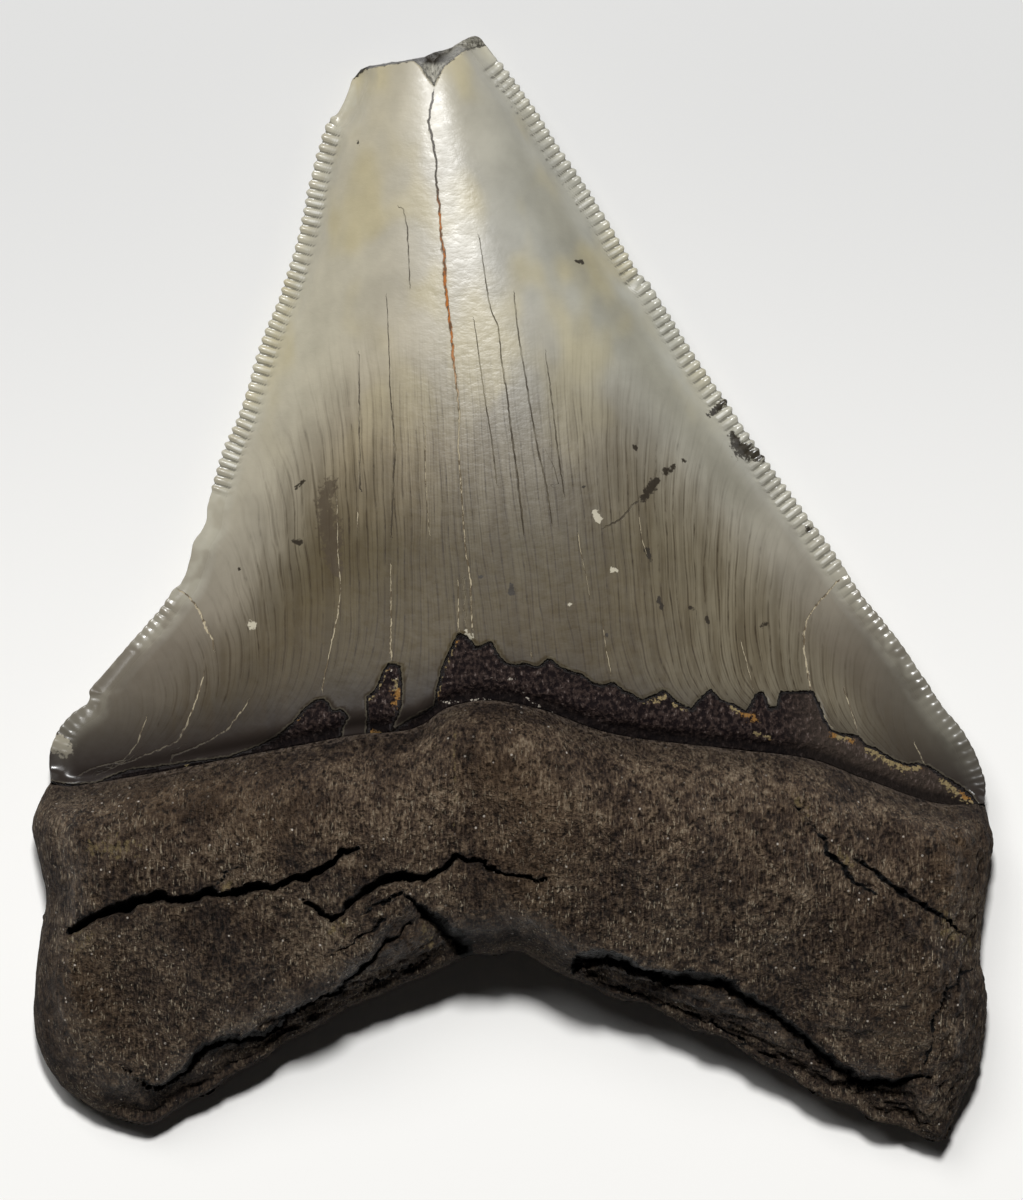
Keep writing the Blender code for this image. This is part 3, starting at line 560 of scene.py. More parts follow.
MATRIX_PATCHES = marks(
    ((-14.5, -10.9, 0.7), (-13.6, -9.9, 0.6), (-12.9, -8.4, 0.5), (-12.3, -7.4, 0.4)),
    ((-11.4, -9.6, 0.8), (-11.4, -11.3, 0.9)),
    ((-13.9, -14.3, 0.6), (-13.0, -14.5, 0.4)),
    (
        (-7.6, -11.1, 0.35), (-7.2, -9.0, 0.4), (-6.7, -7.3, 0.45), (-6.0, -5.8, 0.4),
        (-5.5, -4.6, 0.4),
    ),
    ((12.8, -10.8, 0.6), (14.6, -10.8, 0.7), (15.6, -10.5, 0.4)),
    ((16.0, -11.4, 0.35), (17.4, -12.0, 0.35)),
    ((22.2, -11.8, 0.6), (23.6, -12.6, 0.7), (24.2, -13.0, 0.5)),
    ((24.2, -14.4, 0.3), (25.8, -14.9, 0.25)),
    ((32.1, -14.5, 0.6), (33.8, -15.0, 0.6)),
    ((35.4, -15.9, 0.6), (37.2, -16.9, 0.65), (39.0, -17.9, 0.6), (40.8, -17.8, 0.5)),
    ((43.0, -19.2, 0.5), (44.6, -20.3, 0.75), (46.2, -21.6, 0.5)),
    ((-32.7, -16.9, 0.5), (-32.6, -17.6, 0.4)),
    ((-21.7, -13.2, 0.3), (-20.4, -11.6, 0.3), (-19.4, -10.9, 0.3)),
)
CRYSTAL_CRUST = marks(
    ((-11.2, -9.0, 0.3), (-11.1, -11.2, 0.35), (-11.5, -12.7, 0.3)),
    ((-12.2, -7.9, 0.3), (-11.6, -8.9, 0.5)),
    ((-7.2, -11.2, 0.4), (-5.0, -11.3, 0.5), (-2.6, -11.0, 0.5), (0.2, -11.2, 0.3)),
    ((-2.6, -8.6, 0.3), (-1.2, -9.2, 0.5), (0.6, -8.8, 0.3)),
    ((0.8, -9.6, 0.3), (1.8, -11.2, 0.4), (4.6, -12.6, 0.2)),
    ((-17.0, -12.6, 0.3), (-16.7, -13.6, 0.4), (-17.4, -14.4, 0.3)),
)
ROOT_TAN = marks(
    ((-43.2, -34.4, 0.9), (-42.8, -35.3, 0.8)),
    ((-41.5, -25.7, 0.8), (-39.6, -25.8, 1.1), (-37.6, -25.6, 0.7)),
    ((-8.4, -34.3, 0.9), (-8.0, -35.2, 0.6)),
    ((-17.4, -33.4, 0.8), (-18.2, -33.8, 0.6)),
    ((-5.8, -13.2, 0.16), (-5.7, -18.0, 0.18), (-5.8, -24.0, 0.12)),
    ((28.2, -21.0, 0.6), (29.2, -22.6, 0.5)),
    ((32.2, -26.0, 0.6), (33.6, -27.4, 0.5)),
    ((43.4, -34.2, 0.9), (45.2, -35.6, 0.9)),
    ((42.6, -32.2, 0.6), (44.0, -33.2, 0.7)),
    ((-28.2, -29.2, 0.3), (-28.9, -29.9, 0.3)),
)
ROOT_WARM = marks(
    ((-26.6, -21.6, 5.5), (-24.0, -22.8, 5.0)),
    ((-38.6, -20.6, 3.5), (-30.0, -20.0, 4.0)),
    ((-1.0, -18.5, 5.0), (3.0, -24.0, 6.0), (2.0, -30.0, 5.0)),
    ((39.5, -40.5, 4.5), (38.6, -45.5, 4.0)),
    ((45.0, -26.0, 4.0), (44.0, -30.5, 3.5)),
    ((-43.0, -38.0, 4.5), (-42.0, -43.5, 4.5)),
    ((-8.6, -34.6, 2.2), (-11.0, -36.8, 1.8)),
)


@dataclass(frozen=True)
class ToothForm:
    """The tooth's measured outline and its heights, in millimetres, as the solid has them."""

    root_boss: float = 5.4
    root_slope: float = 0.17
    root_bow: float = 0.006
    root_side_width: float = 5.0
    curl_width: float = 6.5
    arch_lift: float = 1.5
    crown_foot: float = -12.0
    crown_length: float = 66.0
    crown_base_thickness: float = 14.7
    crown_tip_thickness: float = 7.3
    ridge_fall: float = 0.03
    tip_lift: float = 0.7
    serration_pitch: float = 0.93
    serration_height: float = 0.17
    rib_height: float = 0.17
    rib_length: float = 2.0
    enamel_thickness: float = 0.42
    furrow_depth: float = 0.9
    root_lip: float = 0.3
    rim_half: float = 0.14

    def across(self, points: Array) -> Array:
        """Place across the crown: -1 on the left cutting edge, 0 midway, +1 on the right one.

        The edges' nicks don't count: each edge is averaged over its neighbourhood with the
        weights of a bell curve 3 mm wide.

        Args:
            points: an (n, 2) array.

        Returns:
            The place of each point.
        """
        level = np.arange(-30.0, 62.0, 0.5)
        bell = np.exp(-((np.arange(-9.0, 9.5, 0.5) / 3.0) ** 2) / 2)
        bell /= bell.sum()
        blade = []
        for edge in (LEFT_EDGE[::-1], RIGHT_EDGE):
            line = np.array(edge)
            slope = (line[-1, 0] - line[-6, 0]) / (line[-1, 1] - line[-6, 1])
            x = np.interp(level, line[:, 1], line[:, 0])
            x += slope * np.maximum(level - line[-1, 1], 0.0)
            x = np.convolve(np.pad(x, 18, mode="edge"), bell, mode="valid")
            blade.append(np.interp(points[:, 1], level, x))
        low, high = blade
        return np.clip((2 * points[:, 0] - low - high) / (high - low), -1.0, 1.0)

    def below_neck(self, points: Array) -> Array:
        """How far each point lies below the neck line, towards the root; negative on the crown.

        Args:
            points: an (n, 2) array.

        Returns:
            Lengths along Y in millimetres.
        """
        neck = smooth_curve(NECK_LINE, 0.5)
        level = np.interp(points[:, 0], neck[:, 0], neck[:, 1])
        level = level - 0.3 * np.maximum(np.abs(points[:, 0]) - 46.5, 0.0)
        return level - points[:, 1]

    def root_share(self, points: Array) -> Array:
        """0 on the crown, 1 on the root, with a short blend round the neck line."""
        return smoothstep(-2.5, 3.0, self.below_neck(points))

    def edge_height(self, points: Array) -> Array:
        """Height of the crown's cutting edge: it falls from the base towards the tip."""
        return np.interp(points[:, 1], [-20.0, 0.0, 25.0, 56.0], [4.4, 3.6, 2.9, 2.7])

    def root_rim(self, points: Array) -> Array:
        """Widest level of the root's sides: highest in the arch, low where the lobes end.

        Args:
            points: an (n, 2) array.

        Returns:
            Heights above the table.
        """
        base = np.interp(points[:, 0], *np.transpose(BASE_RIM_LEVELS))
        side = np.interp(points[:, 1], *np.transpose(SIDE_RIM_LEVELS))
        share = smoothstep(40.0, 46.0, np.abs(points[:, 0]))
        return (1 - share) * base + share * side

    def rim_height(self, points: Array) -> Array:
        """Height of the rim: the cutting edge on the crown, the widest level on the root."""
        share = self.root_share(points)
        return (1 - share) * self.edge_height(points) + share * self.root_rim(points)

    def crown_lift(self, points: Array) -> Array:
        """How far the crown's tip curves off the table."""
        return self.tip_lift * smoothstep(34.0, 56.0, points[:, 1])

    def crown_top(self, points: Array) -> Array:
        """Lingual height of the crown: edge + (ridge - edge)(1 - |a|^2.6)^1.2 at place a across.

        The ridge falls ever faster towards the tip: base - fall u - bend u^3, where u is the
        length above the crown's foot and the bend makes it reach the tip's thickness.

        Args:
            points: an (n, 2) array.

        Returns:
            Heights above the table.
        """
        up = np.maximum(points[:, 1] - self.crown_foot, 0.0)
        fall = self.crown_base_thickness - self.crown_tip_thickness
        bend = (fall - self.ridge_fall * self.crown_length) / self.crown_length**3
        ridge = self.crown_base_thickness - self.ridge_fall * up - bend * up**3
        edge = self.edge_height(points)
        section = np.clip(1.0 - np.abs(self.across(points)) ** 2.6, 0.0, 1.0) ** 1.2
        return edge + (ridge - edge) * section + self.crown_lift(points)

    def swell(self, points: Array) -> Array:
        """Slow unevenness of the root: three slanted sine waves, within about 0.5 mm.

        Args:
            points: an (n, 2) array.

        Returns:
            Heights to add, in millimetres.
        """
        x, y = points[:, 0], points[:, 1]
        return (
            0.28 * np.sin(0.21 * x + 0.33 * y + 0.6)
            + 0.20 * np.sin(0.47 * x - 0.19 * y + 2.1)
            + 0.12 * np.sin(0.83 * x + 0.71 * y + 4.0)
        )

    def root_top(self, points: Array, inside: Array) -> Array:
        """Lingual height of the root: it climbs from the neck to a boss and falls to the lobes.

        The sides follow a quarter ellipse, sqrt(1 - (1 - t)^2) of the share t of their width.

        Args:
            points: an (n, 2) array.
            inside: distance of each point from the rim.

        Returns:
            Heights above the table.
        """
        below = self.below_neck(points)
        neck = np.interp(
            points[:, 0], [-48, -36, -18, 0, 18, 36, 48], [7.4, 9.6, 13.4, 15.0, 13.6, 9.8, 7.4]
        )
        slab = neck + self.root_boss * (1 - np.exp(-np.maximum(below, 0.0) / 3.4))
        past = np.maximum(below - 9.0, 0.0)
        fuller = 1 - 0.35 * smoothstep(10.0, 30.0, points[:, 0])
        slab = slab - self.root_slope * past - self.root_bow * fuller * past**2 + self.swell(points)
        share = np.clip(inside / self.root_side_width, 0.0, 1.0)
        rounded = np.sqrt(1.0 - (1.0 - share) ** 2)
        rim = self.root_rim(points)
        return rim + (slab - rim) * rounded

    def under(self, points: Array, inside: Array) -> Array:
        """Labial height: flat where the tooth rests, curling up to the rim all round.

        Args:
            points: an (n, 2) array.
            inside: distance of each point from the rim.

        Returns:
            Heights above the table, never below it.
        """
        share = self.root_share(points)
        crown = self.edge_height(points) * np.abs(self.across(points)) ** 3.2
        crown = crown + self.crown_lift(points)
        curl = 1 - np.sqrt(1.0 - (1.0 - np.clip(inside / self.curl_width, 0.0, 1.0)) ** 2)
        arch = self.arch_lift * np.exp(-(((points[:, 0] - 1.0) / 9.0) ** 2))
        arch = arch * smoothstep(30.0, 38.0, -points[:, 1])
        height = (1 - share) * crown + share * (self.root_rim(points) * curl + arch)
        return np.clip(height, 0.0, self.rim_height(points) - self.rim_half)


@dataclass
class Patch:
    """A grid of points, some stretches of which carry their faces at a coarser stride.

    A point of column i and row j has the index start + i * (rows + 1) + j.
    """

    columns: int
    rows: int
    start: int = 0

    def index(self, column: Array, row: Array) -> Array:
        """Index of a grid point, with columns and rows counted from 0."""
        return self.start + column * (self.rows + 1) + row

    def block(
        self,
        columns: tuple[int, int],
        rows: tuple[int, int],
        stride: tuple[int, int],
        finer: dict[Side, int] | None = None,
    ) -> list[Array]:
        """Faces of a stretch of the grid, counter-clockwise in columns and rows.

        A face beside a finer block also takes the finer block's points on that side, so that
        no gap opens between the two.

        Args:
            columns: first and last column.
            rows: first and last row.
            stride: columns and rows that each face spans.
            finer: the neighbour's stride on each side where it is smaller.

        Returns:
            Arrays of faces, one for each count of corners.
        """
        finer = finer or {}
        wide, high = stride
        grid = np.meshgrid(np.arange(*columns, wide), np.arange(*rows, high), indexing="ij")
        i, j = (part.ravel() for part in grid)
        on_side = {
            Side.LOW: j == rows[0],
            Side.RIGHT: i + wide == columns[1],
            Side.HIGH: j + high == rows[1],
            Side.LEFT: i == columns[0],
        }
        faces = []
        for flags in itertools.product((False, True), repeat=len(finer)):
            chosen = np.ones(len(i), bool)
            for side, flag in zip(finer, flags):
                chosen &= on_side[side] == flag
            split = {side: finer[side] for side, flag in zip(finer, flags) if flag}
            along = {side: range(0, wide if side in (Side.LOW, Side.HIGH) else high,
                                 split.get(side, max(wide, high))) for side in Side}
            a, b = i[chosen], j[chosen]
            ring = [self.index(a + k, b) for k in along[Side.LOW]]
            ring += [self.index(a + wide, b + k) for k in along[Side.RIGHT]]
            ring += [self.index(a + wide - k, b + high) for k in along[Side.HIGH]]
            ring += [self.index(a, b + high - k) for k in along[Side.LEFT]]
            faces.append(np.stack(ring, axis=1))
        return faces

    def rim(self, high: Array | None = None) -> Array:
        """Indices round the grid's rim, counter-clockwise.

        Args:
            high: the columns that the last row's faces use, where that isn't all of them.

        Returns:
            The indices.
        """
        i, j = np.arange(self.columns), np.arange(self.rows)
        high = i if high is None else high
        return np.concatenate([
            self.index(i, 0 * i),
            self.index(self.columns + 0 * j, j),
            self.index(self.columns - high, self.rows + 0 * high),
            self.index(0 * j, self.rows - j),
        ])


def between(over: Array, under: Array, start: int, levels: int) -> list[Array]:
    """Faces of a wall between two rims, by way of rings of new points.

    Args:
        over: indices of the upper rim.
        under: indices of the lower rim.
        start: index of the first new point.
        levels: how many rows of faces the wall has.

    Returns:
        An array of faces for each row.
    """
    count = len(over)
    rings = [over] + [start + k * count + np.arange(count) for k in range(levels - 1)] + [under]
    return [
        np.stack([high, low, np.roll(low, -1), np.roll(high, -1)], axis=1)
        for high, low in zip(rings, rings[1:])
    ]


def coons(low: Array, high: Array, left: Array, right: Array, u: Array, v: Array) -> Array:
    """A Coons patch: the sum of the two ruled surfaces less the bilinear one of the corners.

    Args:
        low: the side at v = 0, from left to right.
        high: the side at v = 1, from left to right.
        left: the side at u = 0, upwards.
        right: the side at u = 1, upwards.
        u: place across, from 0 to 1, as a 2-D array.
        v: place upwards, from 0 to 1, of the same shape.

    Returns:
        Points with the shape of u and one more axis.
    """
    a, b = u[..., None], v[..., None]
    ruled_v = (1 - b) * at_share(low, u) + b * at_share(high, u)
    ruled_u = (1 - a) * at_share(left, v) + a * at_share(right, v)
    corners = (1 - b) * ((1 - a) * low[0] + a * low[-1])
    corners = corners + b * ((1 - a) * high[0] + a * high[-1])
    return ruled_v + ruled_u - corners


def spread_fields(
    fields: dict[str, Array], over: Array, levels: int, hidden: Sequence[str] = ()
) -> dict[str, Array]:
    """Fields of the upper grid, repeated on the lower one and on the wall between them.

    Args:
        fields: names and values on the upper grid.
        over: indices of the upper rim.
        levels: how many rows of faces the wall has.
        hidden: marks that only the upper face has, which are -3 elsewhere.

    Returns:
        Names and values for all points.
    """
    result = {}
    for name, values in fields.items():
        low = np.full_like(values, -3.0) if name in hidden else values
        result[name] = np.concatenate([values, low, np.tile(low[over], levels - 1)])
    return result


def make_mesh(
    name: str, points: Array, faces: list[Array], fields: dict[str, Array]
) -> bpy.types.Object:
    """A mesh object from points in millimetres, with a number stored at each of its points.

    Args:
        name: the object's name.
        points: an (n, 3) array; those that no face uses are left out.
        faces: arrays of faces.
        fields: attribute names and one value for each point.

    Returns:
        The object, linked to the scene.
    """
    used = np.unique(np.concatenate([part.ravel() for part in faces]))
    place = np.full(len(points), -1)
    place[used] = np.arange(len(used))
    mesh = bpy.data.meshes.new(name)
    polygons = [row for part in faces for row in place[part].tolist()]
    mesh.from_pydata((points[used] * MM).tolist(), [], polygons)
    for field_name, values in fields.items():
        attribute = mesh.attributes.new(field_name, "FLOAT", "POINT")
        attribute.data.foreach_set("value", values[used].astype(np.float32))
    mesh.shade_smooth()
    mesh.update()
    made = bpy.data.objects.new(name, mesh)
    bpy.context.scene.collection.objects.link(made)
    return made


def linear(hex_colour: str) -> tuple[float, float, float, float]:
    """An sRGB hex colour as linear red, green, blue and an alpha of 1.

    Args:
        hex_colour: a hash and six digits.

    Returns:
        The four numbers.
    """
    parts = np.array([int(hex_colour[k : k + 2], 16) for k in (1, 3, 5)]) / 255.0
    parts = np.where(parts <= 0.04045, parts / 12.92, ((parts + 0.055) / 1.055) ** 2.4)
    return (*parts.tolist(), 1.0)


def add(
    tree: Tree, kind: str, settings: dict[str, Any], links: dict[int | str, Any], out: int | str = 0
) -> Socket:
    """Adds a node with its settings and its inputs, each a number, a colour or a socket.

    Args:
        tree: the material's nodes.
        kind: the node's type without its ShaderNode prefix.
        settings: attributes of the node.
        links: inputs by number or name.
        out: which output to return.

    Returns:
        That output's socket.
    """
    node = tree.nodes.new("ShaderNode" + kind)
    for key, value in settings.items():
        setattr(node, key, value)
    for key, value in links.items():
        if isinstance(value, Socket):
            tree.links.new(value, node.inputs[key])
        else:
            node.inputs[key].default_value = linear(value) if isinstance(value, str) else value
    return node.outputs[out]


def product(tree: Tree, *parts: Any) -> Any:
    """The product of some parts, each a number, a socket or a rise.

    A rise is (source, start, end) or (source, start, end, low, high): the smoothstep of the
    source between its start and end, as a number from low to high, or from 0 to 1.

    Args:
        tree: the material's nodes.
        parts: what is multiplied.

    Returns:
        The product; a lone number stays a number.
    """
    total: Any = None
    for part in parts:
        if isinstance(part, tuple):
            smooth = {"interpolation_type": "SMOOTHSTEP"}
            part = add(tree, "MapRange", smooth, dict(enumerate(part)))
        if total is not None:
            part = add(tree, "Math", {"operation": "MULTIPLY"}, {0: total, 1: part})
        total = part
    return total


def weighted(tree: Tree, *parts: tuple[Socket, float]) -> Socket:
    """The sum of some sockets, each times its weight.

    Args:
        tree: the material's nodes.
        parts: pairs of a socket and its weight.

    Returns:
        The sum's socket.
    """
    total: Any = 0.0
    for part, weight in parts:
        total = add(tree, "Math", {"operation": "MULTIPLY_ADD"}, {0: part, 1: weight, 2: total})
    return total


@dataclass
class Layers:
    """Colours laid over one another, each through a mask from 0 to 1."""

    tree: Tree
    colour: Socket

    @classmethod
    def of_colour(cls, tree: Tree, hex_colour: str) -> "Layers":
        """Starts from one plain sRGB colour.

        Args:
            tree: the material's nodes.
            hex_colour: the colour.

        Returns:
            The layers.
        """
        layers = cls(tree, add(tree, "RGB", {}, {}))
        layers.colour.default_value = linear(hex_colour)
        return layers

    @classmethod
    def of_tones(cls, tree: Tree, level: Socket, tones: Tones) -> "Layers":
        """Starts from a ramp of colours.

        Args:
            tree: the material's nodes.
            level: the number from 0 to 1 that picks the tone.
            tones: places on the ramp, each with its sRGB hex colour.

        Returns:
            The layers.
        """
        ramp = tree.nodes.new("ShaderNodeValToRGB")
        tree.links.new(level, ramp.inputs[0])
        elements = ramp.color_ramp.elements
        for position, colour in tones[1:-1]:
            elements.new(position).color = linear(colour)
        elements[0].color = linear(tones[0][1])
        elements[len(elements) - 1].color = linear(tones[-1][1])
        return cls(tree, ramp.outputs[0])

    def lay(self, colour: Any, *parts: Any, blend: str = "MIX") -> None:
        """Lays a colour over what is there.

        Args:
            colour: an sRGB hex colour or a socket.
            parts: the mask, as the parts of a product.
            blend: the Mix node's blend type.
        """
        settings = {"data_type": "RGBA", "blend_type": blend}
        links = {0: product(self.tree, *parts), 6: self.colour, 7: colour}
        self.colour = add(self.tree, "Mix", settings, links, out=2)

    def dim(self, share: Socket) -> None:
        """Multiplies what is there by a number."""
        grey = add(self.tree, "CombineXYZ", {}, {0: share, 1: share, 2: share})
        self.lay(grey, 1.0, blend="MULTIPLY")


@dataclass
class Ground:
    """What a finish starts from: its nodes, the place in millimetres and the mesh's fields."""

    material: bpy.types.Material
    tree: Tree
    place: Socket
    x: Socket
    y: Socket
    fields: dict[str, Socket]

    @classmethod
    def of(cls, name: str, names: Sequence[str] = ()) -> "Ground":
        """Makes a material with the nodes that give the place and the named fields.

        Args:
            name: the material's name.
            names: the mesh attributes that the finish reads.

        Returns:
            The ground.
        """
        material = bpy.data.materials.new(name)
        material.use_nodes = True
        tree = material.node_tree
        place = add(tree, "TexCoord", {}, {}, out="Object")
        place = add(tree, "VectorMath", {"operation": "SCALE"}, {0: place, "Scale": 1.0 / MM})
        x, y = (add(tree, "SeparateXYZ", {}, {0: place}, out=axis) for axis in (0, 1))
        fields = {
            field: add(tree, "Attribute", {"attribute_name": field}, {}, out="Fac") for field in names
        }
        return cls(material, tree, place, x, y, fields)

    def noise(self, stretch: tuple[float, float, float], detail: float = 3.0) -> Socket:
        """Noise round 0.5 whose cells are 1 / stretch millimetres along each axis.

        Args:
            stretch: cells per millimetre along X, Y and Z.
            detail: how many finer sizes are added.

        Returns:
            The noise's socket.
        """
        place = add(self.tree, "VectorMath", {"operation": "MULTIPLY"}, {0: self.place, 1: stretch})
        links = {"Vector": place, "Scale": 1.0, "Detail": detail, "Roughness": 0.6}
        return add(self.tree, "TexNoise", {}, links)

    def stretched(self, noise: Socket, low: float, high: float) -> Socket:
        """A noise's usual range, 0.3 to 0.7, mapped straight to the two numbers given."""
        return add(self.tree, "MapRange", {}, {0: noise, 1: 0.3, 2: 0.7, 3: low, 4: high})

    def ragged(self, source: Socket, stretch: tuple[float, float, float], half: float) -> Socket:
        """A field with noise of up to the given half height added, so that its outline frays."""
        return weighted(self.tree, (source, 1.0), (self.stretched(self.noise(stretch), -half, half), 1.0))

    def dress(self, inputs: dict[str, Any], relief: Socket | None = None) -> bpy.types.Material:
        """Sets the shader's inputs, and bends its normal by a relief.

        Args:
            inputs: names of the shader's inputs, each with a socket or a value.
            relief: heights in millimetres.

        Returns:
            The finished material.
        """
        if relief is not None:
            links = {"Height": product(self.tree, relief, MM), "Distance": 1.0, "Strength": 1.0}
            inputs = {**inputs, "Normal": add(self.tree, "Bump", {}, links)}
        shader = self.tree.nodes["Principled BSDF"]
        for name, value in inputs.items():
            if isinstance(value, Socket):
                self.tree.links.new(value, shader.inputs[name])
            else:
                shader.inputs[name].default_value = value
        return self.material


@dataclass(frozen=True)
class FossilEnamel:
    """Fossil tooth enamel: apatite stained grey, polished by nature, over black dentine.

    It gives a satin skin with an orange-peel ripple, fine brown growth lines that run down the
    crown, and glassy serrations.
    """

    middle: Tones = (
        (0.0, "#3c372e"), (0.128, "#433c30"), (0.205, "#534935"), (0.333, "#5d533d"),
        (0.462, "#897e69"), (0.59, "#aba390"), (0.75, "#b0aa9a"), (1.0, "#afa895"),
    )
    flank: Tones = (
        (0.0, "#423c34"), (0.09, "#4d473e"), (0.205, "#6e665a"), (0.333, "#9b9484"),
        (0.462, "#b0a996"), (0.59, "#b4ae9a"), (1.0, "#afa895"),
    )
    cool: str = "#eef4ff"
    yellowish: str = "#b7aa7e"
    shade: str = "#77725f"
    translucent: str = "#55524a"
    # painted light for the lower right, which turns from the lamp
    turned: str = "#8b8370"
    growth_line: str = "#382e20"
    growth_blob: str = "#2c241b"
    growth_stain: str = "#4c412e"
    blotch: str = "#4a4034"
    stain: str = "#2d271f"
    spot: str = "#bdb6a2"
    collar: str = "#292321"
    rib_pale: str = "#b9b6a6"
    rib_painted_highlight: str = "#e0ded5"
    rib_painted_shade: str = "#68655a"
    crack_dark: str = "#3a3227"
    crack_brown: str = "#4a3b28"
    crack_rust: str = "#a8611c"
    crack_tan: str = "#ada187"
    lip: str = "#8f8875"
    gap: str = "#0e0b0a"
    band: str = "#1b1514"
    broken_dark: str = "#36322b"
    broken_grey: str = "#8c897d"
    broken_pale: str = "#bab7ab"
    growth_pitch_mm: float = 0.8
    orange_peel_mm: float = 0.045
    crack_groove_mm: float = 0.05
    gloss: float = 0.34
    specular: float = 0.34
    coat: float = 0.06
    coat_roughness: float = 0.22

    def build(self) -> bpy.types.Material:
        """Builds the material from the piece's own fields.

        Returns:
            The finished material.
        """
        ground = Ground.of("fossil_enamel_polished", (
            "flow", "edge", "enamel", "pale_line", "pale_near", "dark_line", "dark_near", "stain",
            "blotch", "spot", "break", "rib", "neck",
        ))
        layers = self.crown_colour(ground)
        self.growth(ground, layers)
        self.serrations(ground, layers)
        self.stains(ground, layers)
        cracked = self.cracks(ground, layers)
        bare = self.lower_edge(ground, layers)
        snapped = self.tip_break(ground, layers)
        roughness, relief = self.surface(ground, cracked, bare, snapped)
        inputs = {
            "Base Color": layers.colour,
            "Roughness": roughness,
            "Specular IOR Level": self.specular,
            "Coat Weight": self.coat,
            "Coat Roughness": self.coat_roughness,
        }
        return ground.dress(inputs, relief)

    def crown_colour(self, ground: Ground) -> Layers:
        """The main colour: a ramp up the middle and one up the flanks, with cloudy tints.

        Args:
            ground: the finish's nodes and fields.

        Returns:
            The colours so far.
        """
        tree, x, y, edge = ground.tree, ground.x, ground.y, ground.fields["edge"]
        level = add(tree, "MapRange", {}, {0: y, 1: -22.0, 2: 56.0})
        layers = Layers.of_tones(tree, level, self.middle)
        layers.lay(Layers.of_tones(tree, level, self.flank).colour, (edge, 13.0, 3.0))

        # The right side is cooler, and a soft shade runs 4 mm inside its edge
        on_right = (x, -3.0, 6.0)
        layers.lay(self.cool, (x, -12.0, 2.0), (y, -6.0, 16.0), blend="MULTIPLY")
        above = (y, 2.0, 12.0, 0.0, 0.42)
        layers.lay(self.shade, (edge, 1.8, 3.8), (edge, 7.5, 4.2), above, on_right)

        # Painted light lightens the lower right, where the crown turns from the light; it is darker along
        # its edge
        layers.lay(self.turned, (x, 7.0, 21.0, 0.0, 0.5), (y, 22.0, 5.0), (edge, 5.0, 9.0))
        layers.lay(self.translucent, (edge, 5.0, 1.5, 0.0, 0.5), (y, 4.0, -8.0), on_right)

        # Faint yellow clouds in the upper half, and mottling all over
        cloud = ground.noise((0.11, 0.07, 0.1), 2.0)
        layers.lay(self.yellowish, (cloud, 0.46, 0.62, 0.0, 0.5), (y, 8.0, 30.0))
        layers.dim(ground.stretched(ground.noise((0.2, 0.16, 0.2)), 0.87, 1.11))
        return layers

    def growth(self, ground: Ground, layers: Layers) -> None:
        """Growth lines: a one-dimensional cell pattern along the crown's flow, patchy in strength.

        Args:
            ground: the finish's nodes and fields.
            layers: the colours so far.
        """
        tree, larger = ground.tree, {"operation": "MAXIMUM"}
        warp = ground.noise((0.3, 0.08, 0.0), 2.0)
        run = weighted(tree, (warp, 1.3), (ground.fields["flow"], 1.0 / self.growth_pitch_mm))
        cells = {"voronoi_dimensions": "1D", "feature": "DISTANCE_TO_EDGE"}
        coarse = add(tree, "TexVoronoi", cells, {"W": run, "Scale": 1.0, "Randomness": 0.8})
        coarse = product(tree, (coarse, 0.17, 0.0, 0.0, 0.85))
        fine = add(tree, "TexVoronoi", cells, {"W": run, "Scale": 2.3, "Randomness": 0.9})
        fine = product(tree, (fine, 0.22, 0.0, 0.0, 0.45))
        lamella = {"W": run, "Scale": 0.9, "Detail": 3.0}
        lamella = add(tree, "TexNoise", {"noise_dimensions": "1D"}, lamella)
        lamella = product(tree, (lamella, 0.45, 0.7, 0.0, 0.3))
        patchy = (ground.noise((1.5, 0.32, 0.0), 4.0), 0.32, 0.56, 0.12, 0.9)
        lines = product(tree, add(tree, "Math", larger, {0: coarse, 1: fine}), patchy)
        lines = add(tree, "Math", larger, {0: lines, 1: lamella})
        grown = product(tree, (ground.y, 29.0, 5.0), (ground.fields["edge"], 2.5, 11.0, 0.08, 1.0))
        brown = (ground.noise((0.9, 0.09, 0.0), 3.0), 0.42, 0.64, 0.0, 0.42)
        layers.lay(self.growth_stain, brown, grown)
        layers.lay(self.growth_line, lines, grown)
        blobs = (ground.noise((2.0, 0.6, 0.0)), 0.56, 0.68)
        layers.lay(self.growth_blob, blobs, coarse, grown, 0.7)

    def serrations(self, ground: Ground, layers: Layers) -> None:
        """Glassy serrations: pale, with a painted highlight on each crest and painted shade in the crease
        between them.

        Args:
            ground: the finish's nodes and fields.
            layers: the colours so far.
        """
        edge, rib = ground.fields["edge"], ground.fields["rib"]
        wear_and_light_mask = (ground.noise((0.3, 0.3, 0.3), 2.0), 0.44, 0.58, 1.0, 0.3)
        high = product(ground.tree, (ground.y, -18.0, 12.0, 0.15, 0.55), wear_and_light_mask)
        layers.lay(self.rib_pale, (edge, 2.8, 1.3), high)
        # Painted highlight along each rib's crest, painted shade in the creases between the ribs
        layers.lay(self.rib_painted_highlight, (rib, 0.45, 0.95, 0.0, 1.5), (edge, 0.2, 1.1, 0.2, 1.0), high)
        layers.lay(self.rib_painted_shade, (rib, 0.0, -0.55, 0.0, 0.8))

    def stains(self, ground: Ground, layers: Layers) -> None:
        """Blotch, stains and pale spots, their outlines roughened by noise.

        Args:
            ground: the finish's nodes and fields.
            layers: the colours so far.
        """
        for name, colour, full, strength in (
            ("blotch", self.blotch, 0.5, 0.75),
            ("stain", self.stain, 0.45, 0.95),
            ("spot", self.spot, 0.3, 0.9),
        ):
            shape = ground.ragged(ground.fields[name], (2.2, 2.2, 2.2), 0.5)
            layers.lay(colour, (shape, 0.0, full, 0.0, strength))

